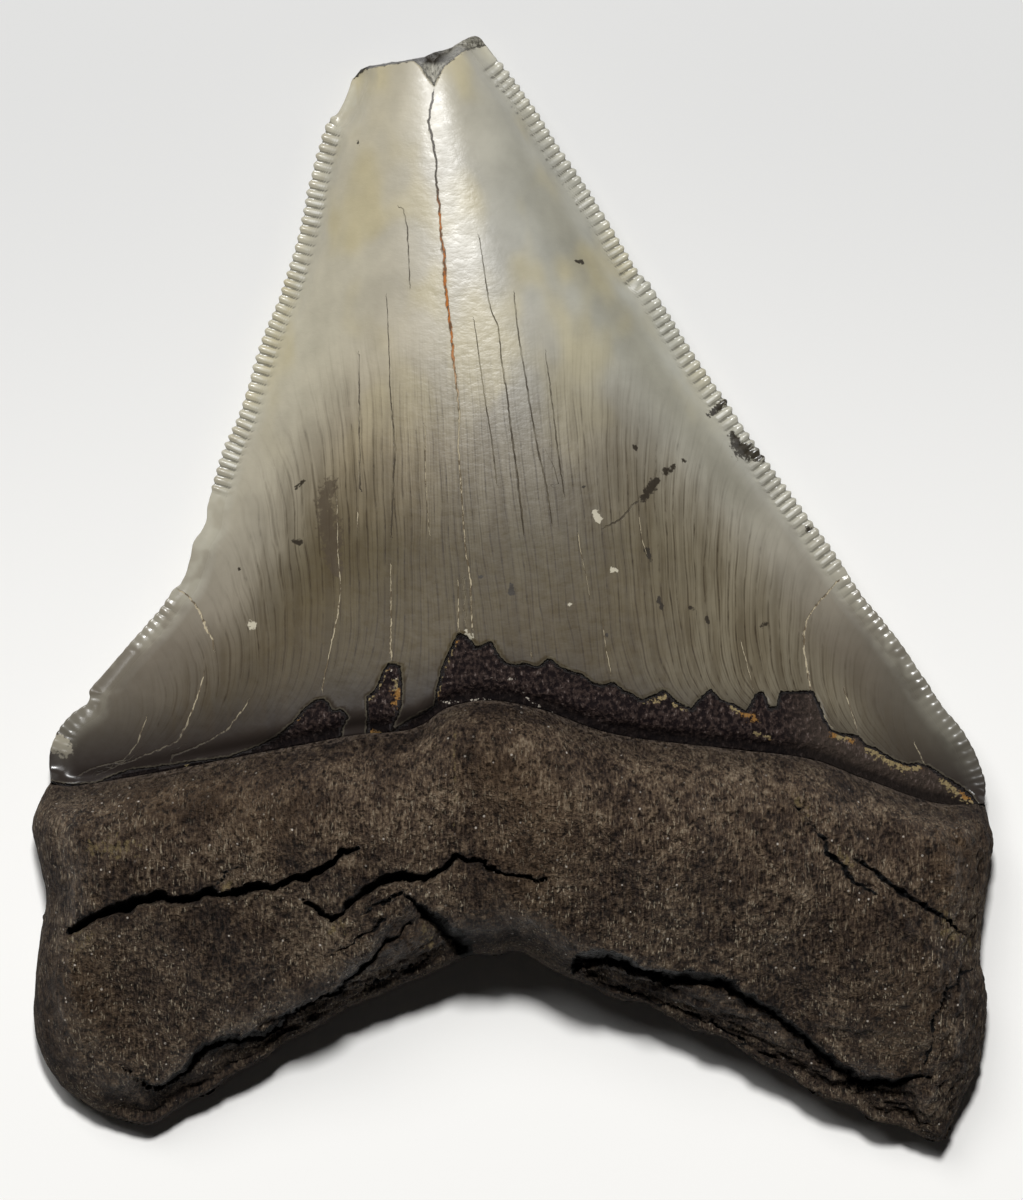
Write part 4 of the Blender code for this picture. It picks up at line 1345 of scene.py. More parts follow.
    def cracks(self, ground: Ground, layers: Layers) -> Socket:
        """Hairline cracks: dark ones, and ones filled with rust above and pale silt below.

        Args:
            ground: the finish's nodes and fields.
            layers: the colours so far.

        Returns:
            1 on a crack, 0 beside it.
        """
        tree, y = ground.tree, ground.y
        masks = []
        for name, half in (("dark", 0.85), ("pale", 0.68)):
            offset = ground.ragged(ground.fields[name + "_line"], (2.0, 1.1, 2.0), 0.8)
            offset = add(tree, "Math", {"operation": "ABSOLUTE"}, {0: offset})
            near = (ground.fields[name + "_near"], 0.75, 0.55)
            masks.append(product(tree, (offset, half + 0.35, half - 0.35), near))
        dark, pale = masks
        layers.lay(self.crack_dark, dark, (ground.noise((0.9, 0.5, 0.9)), 0.38, 0.58, 0.25, 0.85))
        filling = Layers.of_colour(tree, self.crack_tan)
        filling.lay(self.crack_rust, (y, 17.0, 26.0))
        filling.lay(self.crack_brown, (ground.noise((2.5, 1.0, 2.5)), 0.46, 0.58, 0.0, 0.85))
        filling.lay(self.crack_dark, (y, 36.0, 41.0))
        layers.lay(filling.colour, pale)
        return add(tree, "Math", {"operation": "MAXIMUM"}, {0: dark, 1: pale})

    def lower_edge(self, ground: Ground, layers: Layers) -> Socket:
        """The enamel's lower edge: darker towards the neck, a painted highlight on its lip, and a black
        line of painted shade round it where it steps down.

        Args:
            ground: the finish's nodes and fields.
            layers: the colours so far.

        Returns:
            1 below the enamel's edge, 0 on the enamel.
        """
        layers.lay(self.collar, (ground.fields["neck"], -7.5, -0.7, 0.0, 0.92))
        border = ground.ragged(ground.fields["enamel"], (2.6, 2.6, 2.6), 0.1)
        # Painted highlight on the enamel's lip, and painted shade as a black line where the enamel steps
        # down to the band
        layers.lay(self.lip, (border, 0.30, 0.12, 0.0, 0.22))
        layers.lay(self.gap, (border, 0.13, 0.05))
        bare = product(ground.tree, (border, -0.03, -0.12))
        layers.lay(self.band, bare)
        return bare

    def tip_break(self, ground: Ground, layers: Layers) -> Socket:
        """The break at the tip: glassy grey, dark in its middle, with a pale ridged notch.

        Args:
            ground: the finish's nodes and fields.
            layers: the colours so far.

        Returns:
            1 on the break, 0 off it.
        """
        tree, x, y = ground.tree, ground.x, ground.y
        border = ground.ragged(ground.fields["break"], (2.6, 2.6, 2.6), 0.12)
        facet = Layers.of_colour(tree, self.broken_dark)
        facet.lay(self.broken_grey, (x, -7.4, -5.6))
        facet.lay(self.broken_dark, (ground.noise((3.0, 3.0, 3.0)), 0.48, 0.6), 0.55)
        facet.lay(self.broken_pale, (y, 52.9, 52.3), (x, -10.2, -9.3))
        facet.lay(self.broken_dark, (ground.noise((4.5, 0.9, 1.0)), 0.50, 0.62, 0.0, 0.75))
        facet.lay(self.broken_dark, (border, 0.26, 0.1, 0.0, 0.8))
        snapped = product(tree, (border, -0.05, 0.08))
        layers.lay(facet.colour, snapped)
        return snapped

    def surface(
        self, ground: Ground, cracked: Socket, bare: Socket, snapped: Socket
    ) -> tuple[Socket, Socket]:
        """Roughness and relief: orange peel on the enamel, grain where it is gone, grooved cracks.

        Args:
            ground: the finish's nodes and fields.
            cracked: 1 on a crack.
            bare: 1 below the enamel.
            snapped: 1 on the break.

        Returns:
            The roughness, and the relief in millimetres.
        """
        tree, number = ground.tree, {"data_type": "FLOAT"}
        ripple = ground.noise((0.8, 1.15, 1.0))
        rough = ground.stretched(ripple, self.gloss - 0.05, self.gloss + 0.06)
        glassy = product(tree, (ground.fields["edge"], 1.9, 1.3))
        for share, value in ((glassy, 0.22), (cracked, 0.8), (snapped, 0.3), (bare, 0.75)):
            rough = add(tree, "Mix", number, {0: share, 2: rough, 3: value})
        peel = product(tree, ripple, (ground.y, 2.0, 20.0, 0.012, self.orange_peel_mm))
        grain = product(tree, ground.noise((1.6, 3.0, 2.0)), 0.25)
        gone = add(tree, "Math", {"operation": "MAXIMUM"}, {0: bare, 1: snapped})
        relief = add(tree, "Mix", number, {0: gone, 2: peel, 3: grain})
        return rough, weighted(tree, (relief, 1.0), (cracked, -self.crack_groove_mm))


@dataclass(frozen=True)
class BaredDentine:
    """Dentine stained near-black, bared where the enamel has flaked off: matt and scratched.

    Pale scratches, tan silt and white crystals lie on it, and it is painted black in the furrow, for dirt
    and the furrow's shade.
    """

    black: str = "#161011"
    brown: str = "#392e2a"
    pale: str = "#52483f"
    scratch: str = "#7a6e69"
    furrow: str = "#080505"
    silt: str = "#8f7f5c"
    rust: str = "#8e6838"
    crystal: str = "#b6ada0"
    roughness: float = 0.8
    specular: float = 0.08

    def build(self) -> bpy.types.Material:
        """Builds the material from the piece's own fields.

        Returns:
            The finished material.
        """
        ground = Ground.of("fossil_dentine_bared", ("neck", "matrix", "crystal"))
        tree = ground.tree
        layers = Layers.of_colour(tree, self.black)
        grain = ground.noise((2.2, 1.8, 2.0), 4.0)
        fine = ground.noise((6.0, 2.2, 5.0), 3.0)
        layers.lay(self.brown, (grain, 0.42, 0.62))
        layers.lay(self.pale, (ground.x, 26.0, 32.0, 0.0, 0.4))
        marks = weighted(tree, (grain, 1.0), (fine, 1.0))
        layers.lay(self.scratch, (marks, 1.12, 1.36, 0.0, 0.8))
        # Painted shade and dirt: black in the neck furrow
        layers.lay(self.furrow, (ground.fields["neck"], -1.5, -0.7, 0.0, 0.8))
        crust = Layers.of_colour(tree, self.silt)
        crust.lay(self.rust, (ground.noise((0.5, 0.5, 0.5), 1.0), 0.53, 0.6))
        frayed = ground.stretched(ground.noise((2.6, 2.6, 2.6), 5.0), -0.8, 0.8)
        for name, colour, low in (("matrix", crust.colour, 0.35), ("crystal", self.crystal, 0.95)):
            shape = weighted(tree, (ground.fields[name], 1.0), (frayed, 1.0))
            layers.lay(colour, (shape, low, low + 0.5, 0.0, 0.9))
        inputs = {
            "Base Color": layers.colour,
            "Roughness": self.roughness,
            "Specular IOR Level": self.specular,
        }
        return ground.dress(inputs, weighted(tree, (grain, 0.30), (fine, 0.08)))


@dataclass(frozen=True)
class FossilRoot:
    """Fossil root bone: brown, matt and porous, with pale fibres that run towards the crown."""

    tones: Tones = (
        (0.0, "#150f0d"), (0.26, "#2a201b"), (0.42, "#42352b"), (0.56, "#554639"),
        (0.72, "#705f4d"), (1.0, "#9a8a75"),
    )
    fleck: str = "#b8aa92"
    painted_glint: str = "#cfc5b8"
    rim: str = "#6a5d52"
    warm: str = "#5a4630"
    shaded_pit: str = "#0c0908"
    silt: str = "#80704f"
    neck: str = "#1b1514"
    gap: str = "#040303"
    specular: float = 0.26

    def build(self) -> bpy.types.Material:
        """Builds the material from the piece's own fields.

        The tone is a weighted sum of five noises: patches of 6 mm, lumps of 1.2 mm, crumbs of
        0.6 mm, grit of 0.3 mm, and fibres of 0.2 by 1.4 mm.

        Returns:
            The finished material.
        """
        ground = Ground.of("fossil_root_bone", ("gap", "silt", "warm", "rim", "neck"))
        tree, fields = ground.tree, ground.fields
        patches = ground.noise((0.16, 0.16, 0.16), 3.0)
        lumps = ground.noise((0.85, 0.75, 0.85), 5.0)
        grit = ground.noise((3.6, 2.6, 3.6), 4.0)
        fibres = ground.noise((4.4, 0.65, 3.0), 2.0)
        crumbs = ground.noise((1.8, 1.5, 1.8), 5.0)
        tone = weighted(tree, (lumps, 1.1), (crumbs, 0.5), (grit, 0.9), (fibres, 1.1), (patches, 1.0))
        tone = add(tree, "MapRange", {}, {0: tone, 1: 1.70, 2: 2.82})
        layers = Layers.of_tones(tree, tone, self.tones)
        warm = weighted(tree, (fields["warm"], 1.0), (grit, 1.5))
        layers.lay(self.warm, (warm, 0.3, 2.0, 0.0, 0.35))
        level = weighted(tree, (ground.y, 1.0), (ground.x, 0.1))
        layers.dim(product(tree, (level, -21.0, -34.0, 1.1, 0.8)))

        # Painted shade in the pits, pale fibre ends in clusters, most of them low down, and scattered
        # painted glints
        shaded_pit = product(tree, (crumbs, 0.43, 0.35))
        layers.lay(self.shaded_pit, shaded_pit, 0.6)
        clusters = (patches, 0.40, 0.56, 0.15, 1.0)
        low = (ground.y, -17.0, -28.0, 0.5, 1.0)
        flecks = product(tree, (ground.noise((5.2, 1.1, 3.0), 1.0), 0.625, 0.69), clusters, low)
        layers.lay(self.fleck, flecks, 0.72)
        # Painted glints: small pale dots in some of the cells
        cells = {"Vector": ground.place, "Scale": 1.1}
        chosen = add(tree, "SeparateColor", {}, {0: add(tree, "TexVoronoi", {}, cells, out="Color")})
        light = add(tree, "MapRange", {}, {0: chosen, 1: 0.62, 2: 0.9})
        layers.lay(self.painted_glint, (add(tree, "TexVoronoi", {}, cells), 0.17, 0.08), light)

        # Pale silt; painted shade and dirt darken the neck, with a painted lit lip below it; painted
        # shade on the rounded sides and in the gaps
        frayed = ground.stretched(ground.noise((2.2, 1.3, 1.8), 5.0), -2.0, 2.0)
        silt = weighted(tree, (fields["silt"], 1.0), (frayed, 1.0))
        layers.lay(self.silt, (silt, 0.3, 1.6, 0.0, 0.75))
        layers.lay(self.neck, (fields["neck"], 2.6, 0.8, 0.0, 0.45))
        # Painted light: a lit lip just below the neck, frayed by the crumbs
        wear_and_light_mask = weighted(tree, (fields["neck"], 1.0), (crumbs, -3.6))
        layers.lay(self.rim, (wear_and_light_mask, -1.45, -1.8, 0.0, 0.55))
        layers.lay(self.neck, (fields["neck"], 0.1, -0.2))
        # Painted shade on the rounded outer sides, near the rim
        outer = product(tree, (fields["rim"], 3.5, 1.0))
        layers.lay(self.neck, outer, 0.25)
        # Painted shade: the black in the gaps of the cracks
        gap = weighted(tree, (fields["gap"], 1.0), (ground.stretched(grit, -0.2, 0.2), 1.0))
        layers.lay(self.gap, (gap, 0.12, 0.26))
        shine = ground.stretched(lumps, 0.6, 0.3)
        shine = add(tree, "Mix", {"data_type": "FLOAT"}, {0: outer, 2: shine, 3: 1.0})
        inputs = {
            "Base Color": layers.colour,
            "Roughness": shine,
            "Specular IOR Level": self.specular,
        }
        relief = weighted(
            tree, (lumps, 0.6), (crumbs, 1.1), (grit, 0.6), (fibres, 0.3), (flecks, 0.1), (shaded_pit, -0.16)
        )
        return ground.dress(inputs, relief)


@dataclass
class EnamelCrown:
    """The crown: a lens between two serrated edges, flaked at its lower end and broken at its tip."""

    form: ToothForm
    band_offsets: tuple[float, ...] = (
        0.0, 0.05, 0.12, 0.21, 0.32, 0.45, 0.60, 0.78, 0.98, 1.20, 1.46, 1.75, 2.1,
    )
    slant: float = 1.15
    inner_columns: int = 288
    coarse: int = 3
    rows: int = 738
    low_rows: int = 270
    tip_rows: int = 36
    wall_levels: int = 6
    edge_bend: float = 7.6
    neck_bend_left: float = 9.4
    neck_bend_right: float = 14.0
    line_fan: float = 0.14
    tuck: float = 0.6
    tuck_depth: float = 1.2
    break_slope: float = 4.2
    break_roughness: float = 0.35
    bare_roughness: float = 0.07
    tip_wall: float = 1.3

    def plan(self) -> Array:
        """Places of the grid's points seen from above.

        The grid is a Coons patch between the neck line, the break and the two cutting edges.
        Its outer columns lie at fixed distances from the edges, so the serrations keep their
        length, and the others share out the rest evenly.

        Returns:
            An array of (columns + 1, rows + 1, 2).
        """
        sides = {
            "left": smooth_curve(LEFT_EDGE, 0.25)[::-1],
            "right": smooth_curve(RIGHT_EDGE, 0.25),
            "low": smooth_curve(NECK_LINE, 0.25) - np.array([0.0, self.tuck]),
            "high": smooth_curve(TIP_BREAK, 0.25)[::-1],
        }
        v = np.linspace(0.0, 1.0, self.rows + 1)
        width = np.linalg.norm(at_share(sides["right"], v) - at_share(sides["left"], v), axis=1)
        offsets = np.array(self.band_offsets)
        outer = offsets[:, None] * self.slant / width[None, :]
        inner = np.linspace(0.0, 1.0, self.inner_columns + 1)[1:-1, None]
        inner = outer[-1] + inner * (1 - 2 * outer[-1])
        u = np.vstack([outer, inner, 1 - outer[::-1]])
        v = np.broadcast_to(v, u.shape)
        return coons(sides["low"], sides["high"], sides["left"], sides["right"], u, v)

    def flow(self, points: Array) -> Array:
        """A number that stays the same along each growth line.

        It is x, less the lines' slow fan outwards, plus a term that falls off from the cutting
        edge and one that falls off above the neck, which bend the lines towards the sides.

        Args:
            points: an (n, 2) array.

        Returns:
            The number in millimetres for each point.
        """
        x, y = points.T
        left = nearest_on_line(points, smooth_curve(LEFT_EDGE, 2.0))[0]
        right = nearest_on_line(points, smooth_curve(RIGHT_EDGE, 2.0))[0]
        height = np.maximum(-self.form.below_neck(points), 0.0)
        on_left = smoothstep(6.0, 16.0, -x)
        on_right = smoothstep(6.0, 20.0, x)
        fan = self.line_fan * smoothstep(-12.0, 0.0, x) * (y + 6.0)
        bend_left = self.edge_bend * np.exp(-left / 8.0)
        bend_left += self.neck_bend_left * np.exp(-height / 3.2) * on_left
        bend_right = self.edge_bend * np.exp(-right / 8.0)
        bend_right += self.neck_bend_right * np.exp(-height / 2.4) * on_right
        return x + fan + bend_left - bend_right

    def edge_fields(self, points: Array) -> dict[str, Array]:
        """Distance to the nearer cutting edge, and the serrations' own wave.

        The wave is |cos| of the place along the edge over the pitch: round tops with sharp
        creases between them. It is 0 where the edge is rubbed smooth.

        Args:
            points: an (n, 2) array.

        Returns:
            Arrays named edge and rib.
        """
        near = {}
        for name, edge, spans in (
            ("left", LEFT_EDGE, ((4.5, 43.5), (56.0, 62.0), (67.5, 75.5))),
            ("right", RIGHT_EDGE, ((0.6, 27.0), (28.4, 89.5))),
        ):
            line = smooth_curve(edge, 0.5)
            distance, _, place = nearest_on_line(points, line)
            along = np.column_stack([place, np.zeros_like(place), np.zeros_like(place)])
            drift = 0.35 * lattice_noise(along, (4.0, 1.0, 1.0), 5)
            wave = np.abs(np.cos(np.pi * (place / self.form.serration_pitch + drift)))
            alive = np.zeros_like(place)
            for low, high in spans:
                starts = smoothstep(low - 0.8, low + 0.4, place)
                alive += starts * smoothstep(-high - 0.8, 0.4 - high, -place)
            strength = 0.85 + 0.3 * lattice_noise(along, (1.7, 1.0, 1.0), 9)
            near[name] = (distance, (2.0 * wave**1.15 - 1.0) * np.clip(alive, 0, 1) * strength)
        first = near["left"][0] < near["right"][0]
        distance = np.where(first, near["left"][0], near["right"][0])
        wave = np.where(first, near["left"][1], near["right"][1])
        return {"edge": distance, "rib": wave}

    def border(self, points: Array) -> Array:
        """Signed distance from the enamel's lower edge, positive on the enamel.

        Args:
            points: an (n, 2) array.

        Returns:
            Distances in millimetres.
        """
        line = np.array(ENAMEL_EDGE, float)
        distance = nearest_on_line(points, line)[0]
        ring = np.vstack([line, [[60.0, 60.0], [-60.0, 60.0]]])
        return np.where(inside_polygon(points, ring), distance, -distance)

    def broken(self, points: Array) -> Array:
        """Signed distance from the break's lingual edge, positive on the break.

        Args:
            points: an (n, 2) array.

        Returns:
            Distances in millimetres.
        """
        line = np.array(BREAK_EDGE, float)
        level = np.interp(points[:, 0], line[:, 0], line[:, 1])
        distance = nearest_on_line(points, line)[0]
        return np.where(points[:, 1] > level, distance, -distance)

    def fields(self, points: Array) -> dict[str, Array]:
        """Every number that the crown's finish reads, at each point.

        Args:
            points: an (n, 2) array.

        Returns:
            Attribute names and values.
        """
        pale_line, pale_near = line_field(points, PALE_CRACKS)
        dark_line, dark_near = line_field(points, DARK_CRACKS)
        found = self.edge_fields(points)
        fade = smoothstep(-self.form.rib_length, -1.5, -found["edge"])
        fade = fade * (0.22 + 0.78 * smoothstep(-7.0, 8.0, points[:, 1]))
        return {
            "flow": self.flow(points),
            "edge": found["edge"],
            "rib": found["rib"] * fade,
            "neck": self.form.below_neck(points),
            "enamel": self.border(points),
            "pale_line": pale_line,
            "pale_near": pale_near,
            "dark_line": dark_line,
            "dark_near": dark_near,
            "stain": cover(points, STAINS),
            "blotch": cover(points, BROWN_BLOTCH),
            "spot": cover(points, PALE_SPOTS),
            "matrix": cover(points, MATRIX_PATCHES),
            "crystal": cover(points, CRYSTAL_CRUST),
            "break": self.broken(points),
        }

    def top(self, points: Array, fields: dict[str, Array]) -> Array:
        """Lingual height: the solid's own, with the serrations' ribs, the flaked step and the break.

        Args:
            points: an (n, 2) array.
            fields: the crown's fields at those points.

        Returns:
            Heights above the table.
        """
        form = self.form
        share = form.root_share(points)
        far = np.full(len(points), 9.0)
        height = (1 - share) * form.crown_top(points) + share * form.root_top(points, far)
        inside = smoothstep(0.0, 3.0, fields["edge"])
        into = np.minimum(fields["neck"] + 0.6, 0.0)
        height -= form.furrow_depth * np.exp(-((into / 0.9) ** 2)) * inside
        rim = form.rim_height(points) + form.rim_half
        settle = smoothstep(0.1, 2.7, fields["edge"] + 2.7 * smoothstep(-2.0, 0.0, fields["neck"]))
        height = rim + (height - rim) * settle
        bare = smoothstep(-0.12, 0.12, -fields["enamel"]) * smoothstep(0.2, 1.2, fields["edge"])
        height -= form.enamel_thickness * bare
        solid = np.column_stack([points, height])
        height += self.bare_roughness * bare * rough_noise(solid, (1.4, 0.7, 1.0), 31)
        height += form.rib_height * fields["rib"]
        floor = np.minimum(form.under(points, fields["edge"]) + self.tip_wall, height)
        drop = np.clip(fields["break"], 0.0, 1.6) * self.break_slope
        rough = self.break_roughness * smoothstep(0.0, 0.5, fields["break"])
        drop += rough * rough_noise(solid, (0.9, 0.9, 0.9), 37)
        height = np.where(fields["break"] > 0, np.maximum(height - drop, floor), height)
        height = np.maximum(height, rim)
        return height - self.tuck_depth * smoothstep(0.05, self.tuck, fields["neck"])

    def faces(self, upper: Patch, lower: Patch) -> list[Array]:
        """Faces of both grids: fine beside the edges, coarser between them.

        Args:
            upper: the lingual grid.
            lower: the labial grid, whose faces are turned over.

        Returns:
            Arrays of faces.
        """
        band = len(self.band_offsets) - 1
        last, first_high = upper.columns, self.rows - self.tip_rows
        inner = (band, last - band)
        sides = {Side.LEFT: 1, Side.RIGHT: 1}
        faces = upper.block((0, band), (0, self.rows), (1, 1))
        faces += upper.block((last - band, last), (0, self.rows), (1, 1))
        faces += upper.block(inner, (0, self.low_rows), (1, 2), sides)
        middle = (self.coarse, self.coarse)
        faces += upper.block(inner, (self.low_rows, first_high), middle, {**sides, Side.LOW: 1})
        faces += upper.block(inner, (first_high, self.rows), (self.coarse, 1))
        ends = {Side.LOW: 1, Side.HIGH: 1}
        turned = lower.block((0, band), (0, self.rows), (4, 1), ends)
        turned += lower.block((last - band, last), (0, self.rows), (4, 1), ends)
        back = (2 * self.coarse, 2 * self.coarse)
        finer = {**sides, Side.LOW: 1, Side.HIGH: self.coarse}
        turned += lower.block(inner, (0, self.rows), back, finer)
        return faces + [part[:, ::-1] for part in turned]

    def build(self) -> bpy.types.Object:
        """Makes the closed mesh and dresses it.

        Returns:
            The crown's object.
        """
        plan = self.plan()
        columns = plan.shape[0] - 1
        points = plan.reshape(-1, 2)
        fields = self.fields(points)
        upper = Patch(columns, self.rows)
        lower = Patch(columns, self.rows, start=len(points))
        tops = self.top(points, fields)
        unders = self.form.under(points, fields["edge"])
        unders -= 0.5 * self.form.rib_height * fields["rib"] * (fields["edge"] < 2.0)
        unders = np.maximum(unders, 0.0)
        band = len(self.band_offsets) - 1
        tip = np.r_[0:band, band : columns - band : self.coarse, columns - band : columns]
        over, beneath = upper.rim(tip), lower.rim(tip)

        # The rim's points move out on a serration and in at a crease
        rim_points = points[over]
        ahead = np.roll(rim_points, -4, axis=0) - np.roll(rim_points, 4, axis=0)
        outward = np.column_stack([ahead[:, 1], -ahead[:, 0]])
        outward /= np.maximum(np.linalg.norm(outward, axis=1, keepdims=True), 1e-9)
        swing = self.form.serration_height * fields["rib"][over]
        on_break = smoothstep(-0.2, 0.3, fields["break"][over])
        chipped = rough_noise(np.column_stack([rim_points, 0 * swing]), (1.6, 1.6, 1.0), 41)
        moved = rim_points + outward * (swing + 0.05 * chipped)[:, None]
        solid = np.vstack([np.column_stack([points, tops]), np.column_stack([points, unders])])
        solid[over, :2] = moved
        solid[beneath, :2] = moved
        edge = self.form.rim_height(rim_points)
        keep = np.maximum(on_break, smoothstep(-0.5, 0.3, fields["neck"][over]))
        high, low = edge + self.form.rim_half, edge - self.form.rim_half
        solid[over, 2] = np.where(keep > 0, tops[over], high)
        solid[beneath, 2] = np.where(keep > 0, np.minimum(unders[over], edge - 0.2), low)

        walls, wall_faces = self.wall(solid, over, beneath, outward, on_break)
        faces = self.faces(upper, lower) + wall_faces
        fields = spread_fields(fields, over, self.wall_levels)
        made = make_mesh("crown_enamel", np.vstack([solid, walls]), faces, fields)
        made.data.materials.append(FossilEnamel().build())
        made.data.materials.append(BaredDentine().build())
        self.share_out(made.data)
        return made

    def share_out(self, mesh: bpy.types.Mesh) -> None:
        """Gives the faces below the enamel's edge the bared dentine's finish.

        Args:
            mesh: the crown's mesh, with its enamel field.
        """
        field = mesh.attributes["enamel"].data
        values = np.empty(len(field), np.float32)
        field.foreach_get("value", values)
        corners = np.empty(len(mesh.loops), np.int32)
        mesh.loops.foreach_get("vertex_index", corners)
        starts = np.empty(len(mesh.polygons), np.int32)
        mesh.polygons.foreach_get("loop_start", starts)
        highest = np.maximum.reduceat(values[corners], starts)
        mesh.polygons.foreach_set("material_index", (highest < -0.1).astype(np.int32))

    def wall(
        self, solid: Array, over: Array, beneath: Array, outward: Array, on_break: Array
    ) -> tuple[Array, list[Array]]:
        """The narrow wall between the two rims: straight down, bulging by a half sine outwards.

        On the break it is pushed in and out by noise instead, so the snapped face is rough.

        Args:
            solid: the points so far.
            over: indices of the upper rim.
            beneath: indices of the lower rim.
            outward: unit vectors out of the rim, in plan.
            on_break: 1 where the rim lies on the break.

        Returns:
            The new points, and the faces.
        """
        shares = np.arange(1, self.wall_levels) / self.wall_levels
        top, foot = solid[over], solid[beneath]
        levels = []
        for share in shares:
            ring = (1 - share) * top + share * foot
            rough = rough_noise(ring, (1.1, 1.1, 0.8), 43)
            bulge = 0.07 * np.sin(np.pi * share) * (1 - on_break) + 0.12 * rough * on_break
            ring[:, :2] += outward * bulge[:, None]
            levels.append(ring)
        return np.vstack(levels), between(over, beneath, len(solid), self.wall_levels)


@dataclass
class CrackedRoot:
    """The root: a thick slab with rounded sides, an arched base, and splits along its layers."""

    form: ToothForm
    columns: int = 408
    rows: int = 156
    side_steps: int = 16
    side_width: float = 1.0
    coarse: int = 3
    wall_levels: int = 3
    lump_height: float = 0.17
    fibre_height: float = 0.075
    grit_height: float = 0.085
    ledge_height: float = 0.42
    flake_height: float = 0.22

    def spread(self, count: int, length: float, both: bool) -> Array:
        """Places from 0 to 1 that crowd towards the rim, where the sides are steep.

        The first side_steps places follow k^2, which spaces points evenly up a round side.

        Args:
            count: how many intervals.
            length: the side's length in millimetres.
            both: whether both ends lie on the rim.

        Returns:
            count + 1 places.
        """
        first = self.side_width / length * (np.arange(self.side_steps) / self.side_steps) ** 2
        start = self.side_width / length
        if both:
            middle = np.linspace(start, 1 - start, count - 2 * self.side_steps + 1)
            return np.concatenate([first, middle, 1 - first[::-1]])
        return np.concatenate([first, np.linspace(start, 1.0, count - self.side_steps + 1)])

    def plan(self) -> Array:
        """Places of the grid's points seen from above: a Coons patch between rim and neck line.

        Returns:
            An array of (columns + 1, rows + 1, 2).
        """
        left = smooth_curve(ROOT_LEFT, 0.25)[::-1]
        right = smooth_curve(ROOT_RIGHT, 0.25)
        low = smooth_curve(ROOT_BASE, 0.25)
        high = smooth_curve(NECK_LINE, 0.25)
        u = self.spread(self.columns, 96.0, both=True)
        v = self.spread(self.rows, 28.0, both=False)
        u, v = np.meshgrid(u, v, indexing="ij")
        return coons(low, high, left, right, u, v)

    def inside(self, points: Array) -> Array:
        """Distance from the root's rim, which doesn't count the neck line.

        Args:
            points: an (n, 2) array.

        Returns:
            Distances in millimetres.
        """
        edges = (ROOT_LEFT, ROOT_BASE, ROOT_RIGHT)
        line = np.vstack([smooth_curve(edge, 0.6) for edge in edges])
        return nearest_on_line(points, line)[0]

    def cracks(self, points: Array) -> tuple[Array, Array]:
        """How far the cracks and ledges lower the surface, and how deep in a gap a point lies.

        The points are first moved by up to 0.4 mm of noise, so the traced lines turn ragged.

        Args:
            points: an (n, 2) array.

        Returns:
            The drop in millimetres, and 1 - distance / half width of the nearest gap.
        """
        flat = np.column_stack([points, np.zeros(len(points))])
        shift = [
            0.26 * rough_noise(flat, (1.6, 1.6, 1.0), seed)
            + 0.16 * rough_noise(flat, (0.6, 0.6, 1.0), seed + 5)
            for seed in (51, 52)
        ]
        moved = points + np.stack(shift, axis=1)
        cut = np.zeros(len(points))
        gap = np.full(len(points), -3.0)
        drop = np.zeros(len(points))
        rise = np.zeros(len(points))
        for crack in ROOT_CRACKS:
            distance, side, width, fade, slow = crack.reach(moved)
            depth = np.clip(1.5 * (1 - distance / width), 0.0, 1.0)
            cut = np.maximum(cut, crack.depth * depth * fade)
            # The black of a gap is painted shade: it is set a quarter of the half width off the line, on
            # its left as it runs, where the shadowed wall lies
            aside = np.abs(side * distance / width + 0.25)
            gap = np.maximum(gap, np.where(fade > 0.01, 1 - aside, -3.0))
            low_side = smoothstep(-0.3, 0.6, side * distance / width)
            step = crack.drop * low_side * slow * (1 - smoothstep(9.0, 14.0, distance))
            drop = np.maximum(drop, step)
            rise = np.minimum(rise, step)
        return cut + drop + rise, gap

    def flaky(self, points: Array, inside: Array) -> Array:
        """1 on the ragged layers under the lower ledges and at the right corner, 0 elsewhere.

        Args:
            points: an (n, 2) array.
            inside: distance of each point from the rim.

        Returns:
            How ragged each point is.
        """
        x, y = points.T
        right = smoothstep(5.0, 8.0, x) * smoothstep(-5.0, -2.5, -inside) * smoothstep(34.0, 37.0, -y)
        left = smoothstep(5.0, 9.0, -x) * smoothstep(-3.6, -2.2, -inside) * smoothstep(30.0, 35.0, -y)
        left *= smoothstep(-36.0, -26.0, x)
        corner = smoothstep(40.5, 43.5, x) * smoothstep(21.0, 26.0, -y)
        return np.maximum(np.maximum(right, left), corner)

    def raise_detail(self, grid: Array, flaky: Array, calm: Array) -> Array:
        """Pushes a grid along its own normals by bone texture.

        The normal is the cross product of the grid's two differences. The push is lumps of
        3 mm, fibres of 0.5 by 2.5 mm along Y, grit of 0.6 mm, and layers on the ragged parts.

        Args:
            grid: an array of (columns + 1, rows + 1, 3).
            flaky: how ragged each point is.
            calm: 0 where the surface must stay put, 1 elsewhere.

        Returns:
            The grid with its detail.
        """
        across, upward = np.gradient(grid, axis=0), np.gradient(grid, axis=1)
        normal = np.cross(across, upward)
        normal /= np.maximum(np.linalg.norm(normal, axis=2, keepdims=True), 1e-12)
        points = grid.reshape(-1, 3)
        push = self.lump_height * rough_noise(points, (3.2, 3.6, 3.2), 61, octaves=3)
        push += self.fibre_height * rough_noise(points, (0.5, 2.2, 1.2), 62, octaves=2)
        push += self.grit_height * rough_noise(points, (1.0, 1.2, 1.0), 63, octaves=3)
        layers = rough_noise(points, (7.0, 2.4, 0.8), 64, octaves=3)
        ledges = np.abs((points[:, 2] / 1.3 + 1.2 * layers) % 2.0 - 1.0)
        flakes = self.flake_height * rough_noise(points, (1.6, 1.1, 0.9), 65)
        push += flaky.ravel() * (self.ledge_height * ledges - 0.25 + flakes)
        return grid + normal * (push * calm.ravel()).reshape(grid.shape[:2])[..., None]

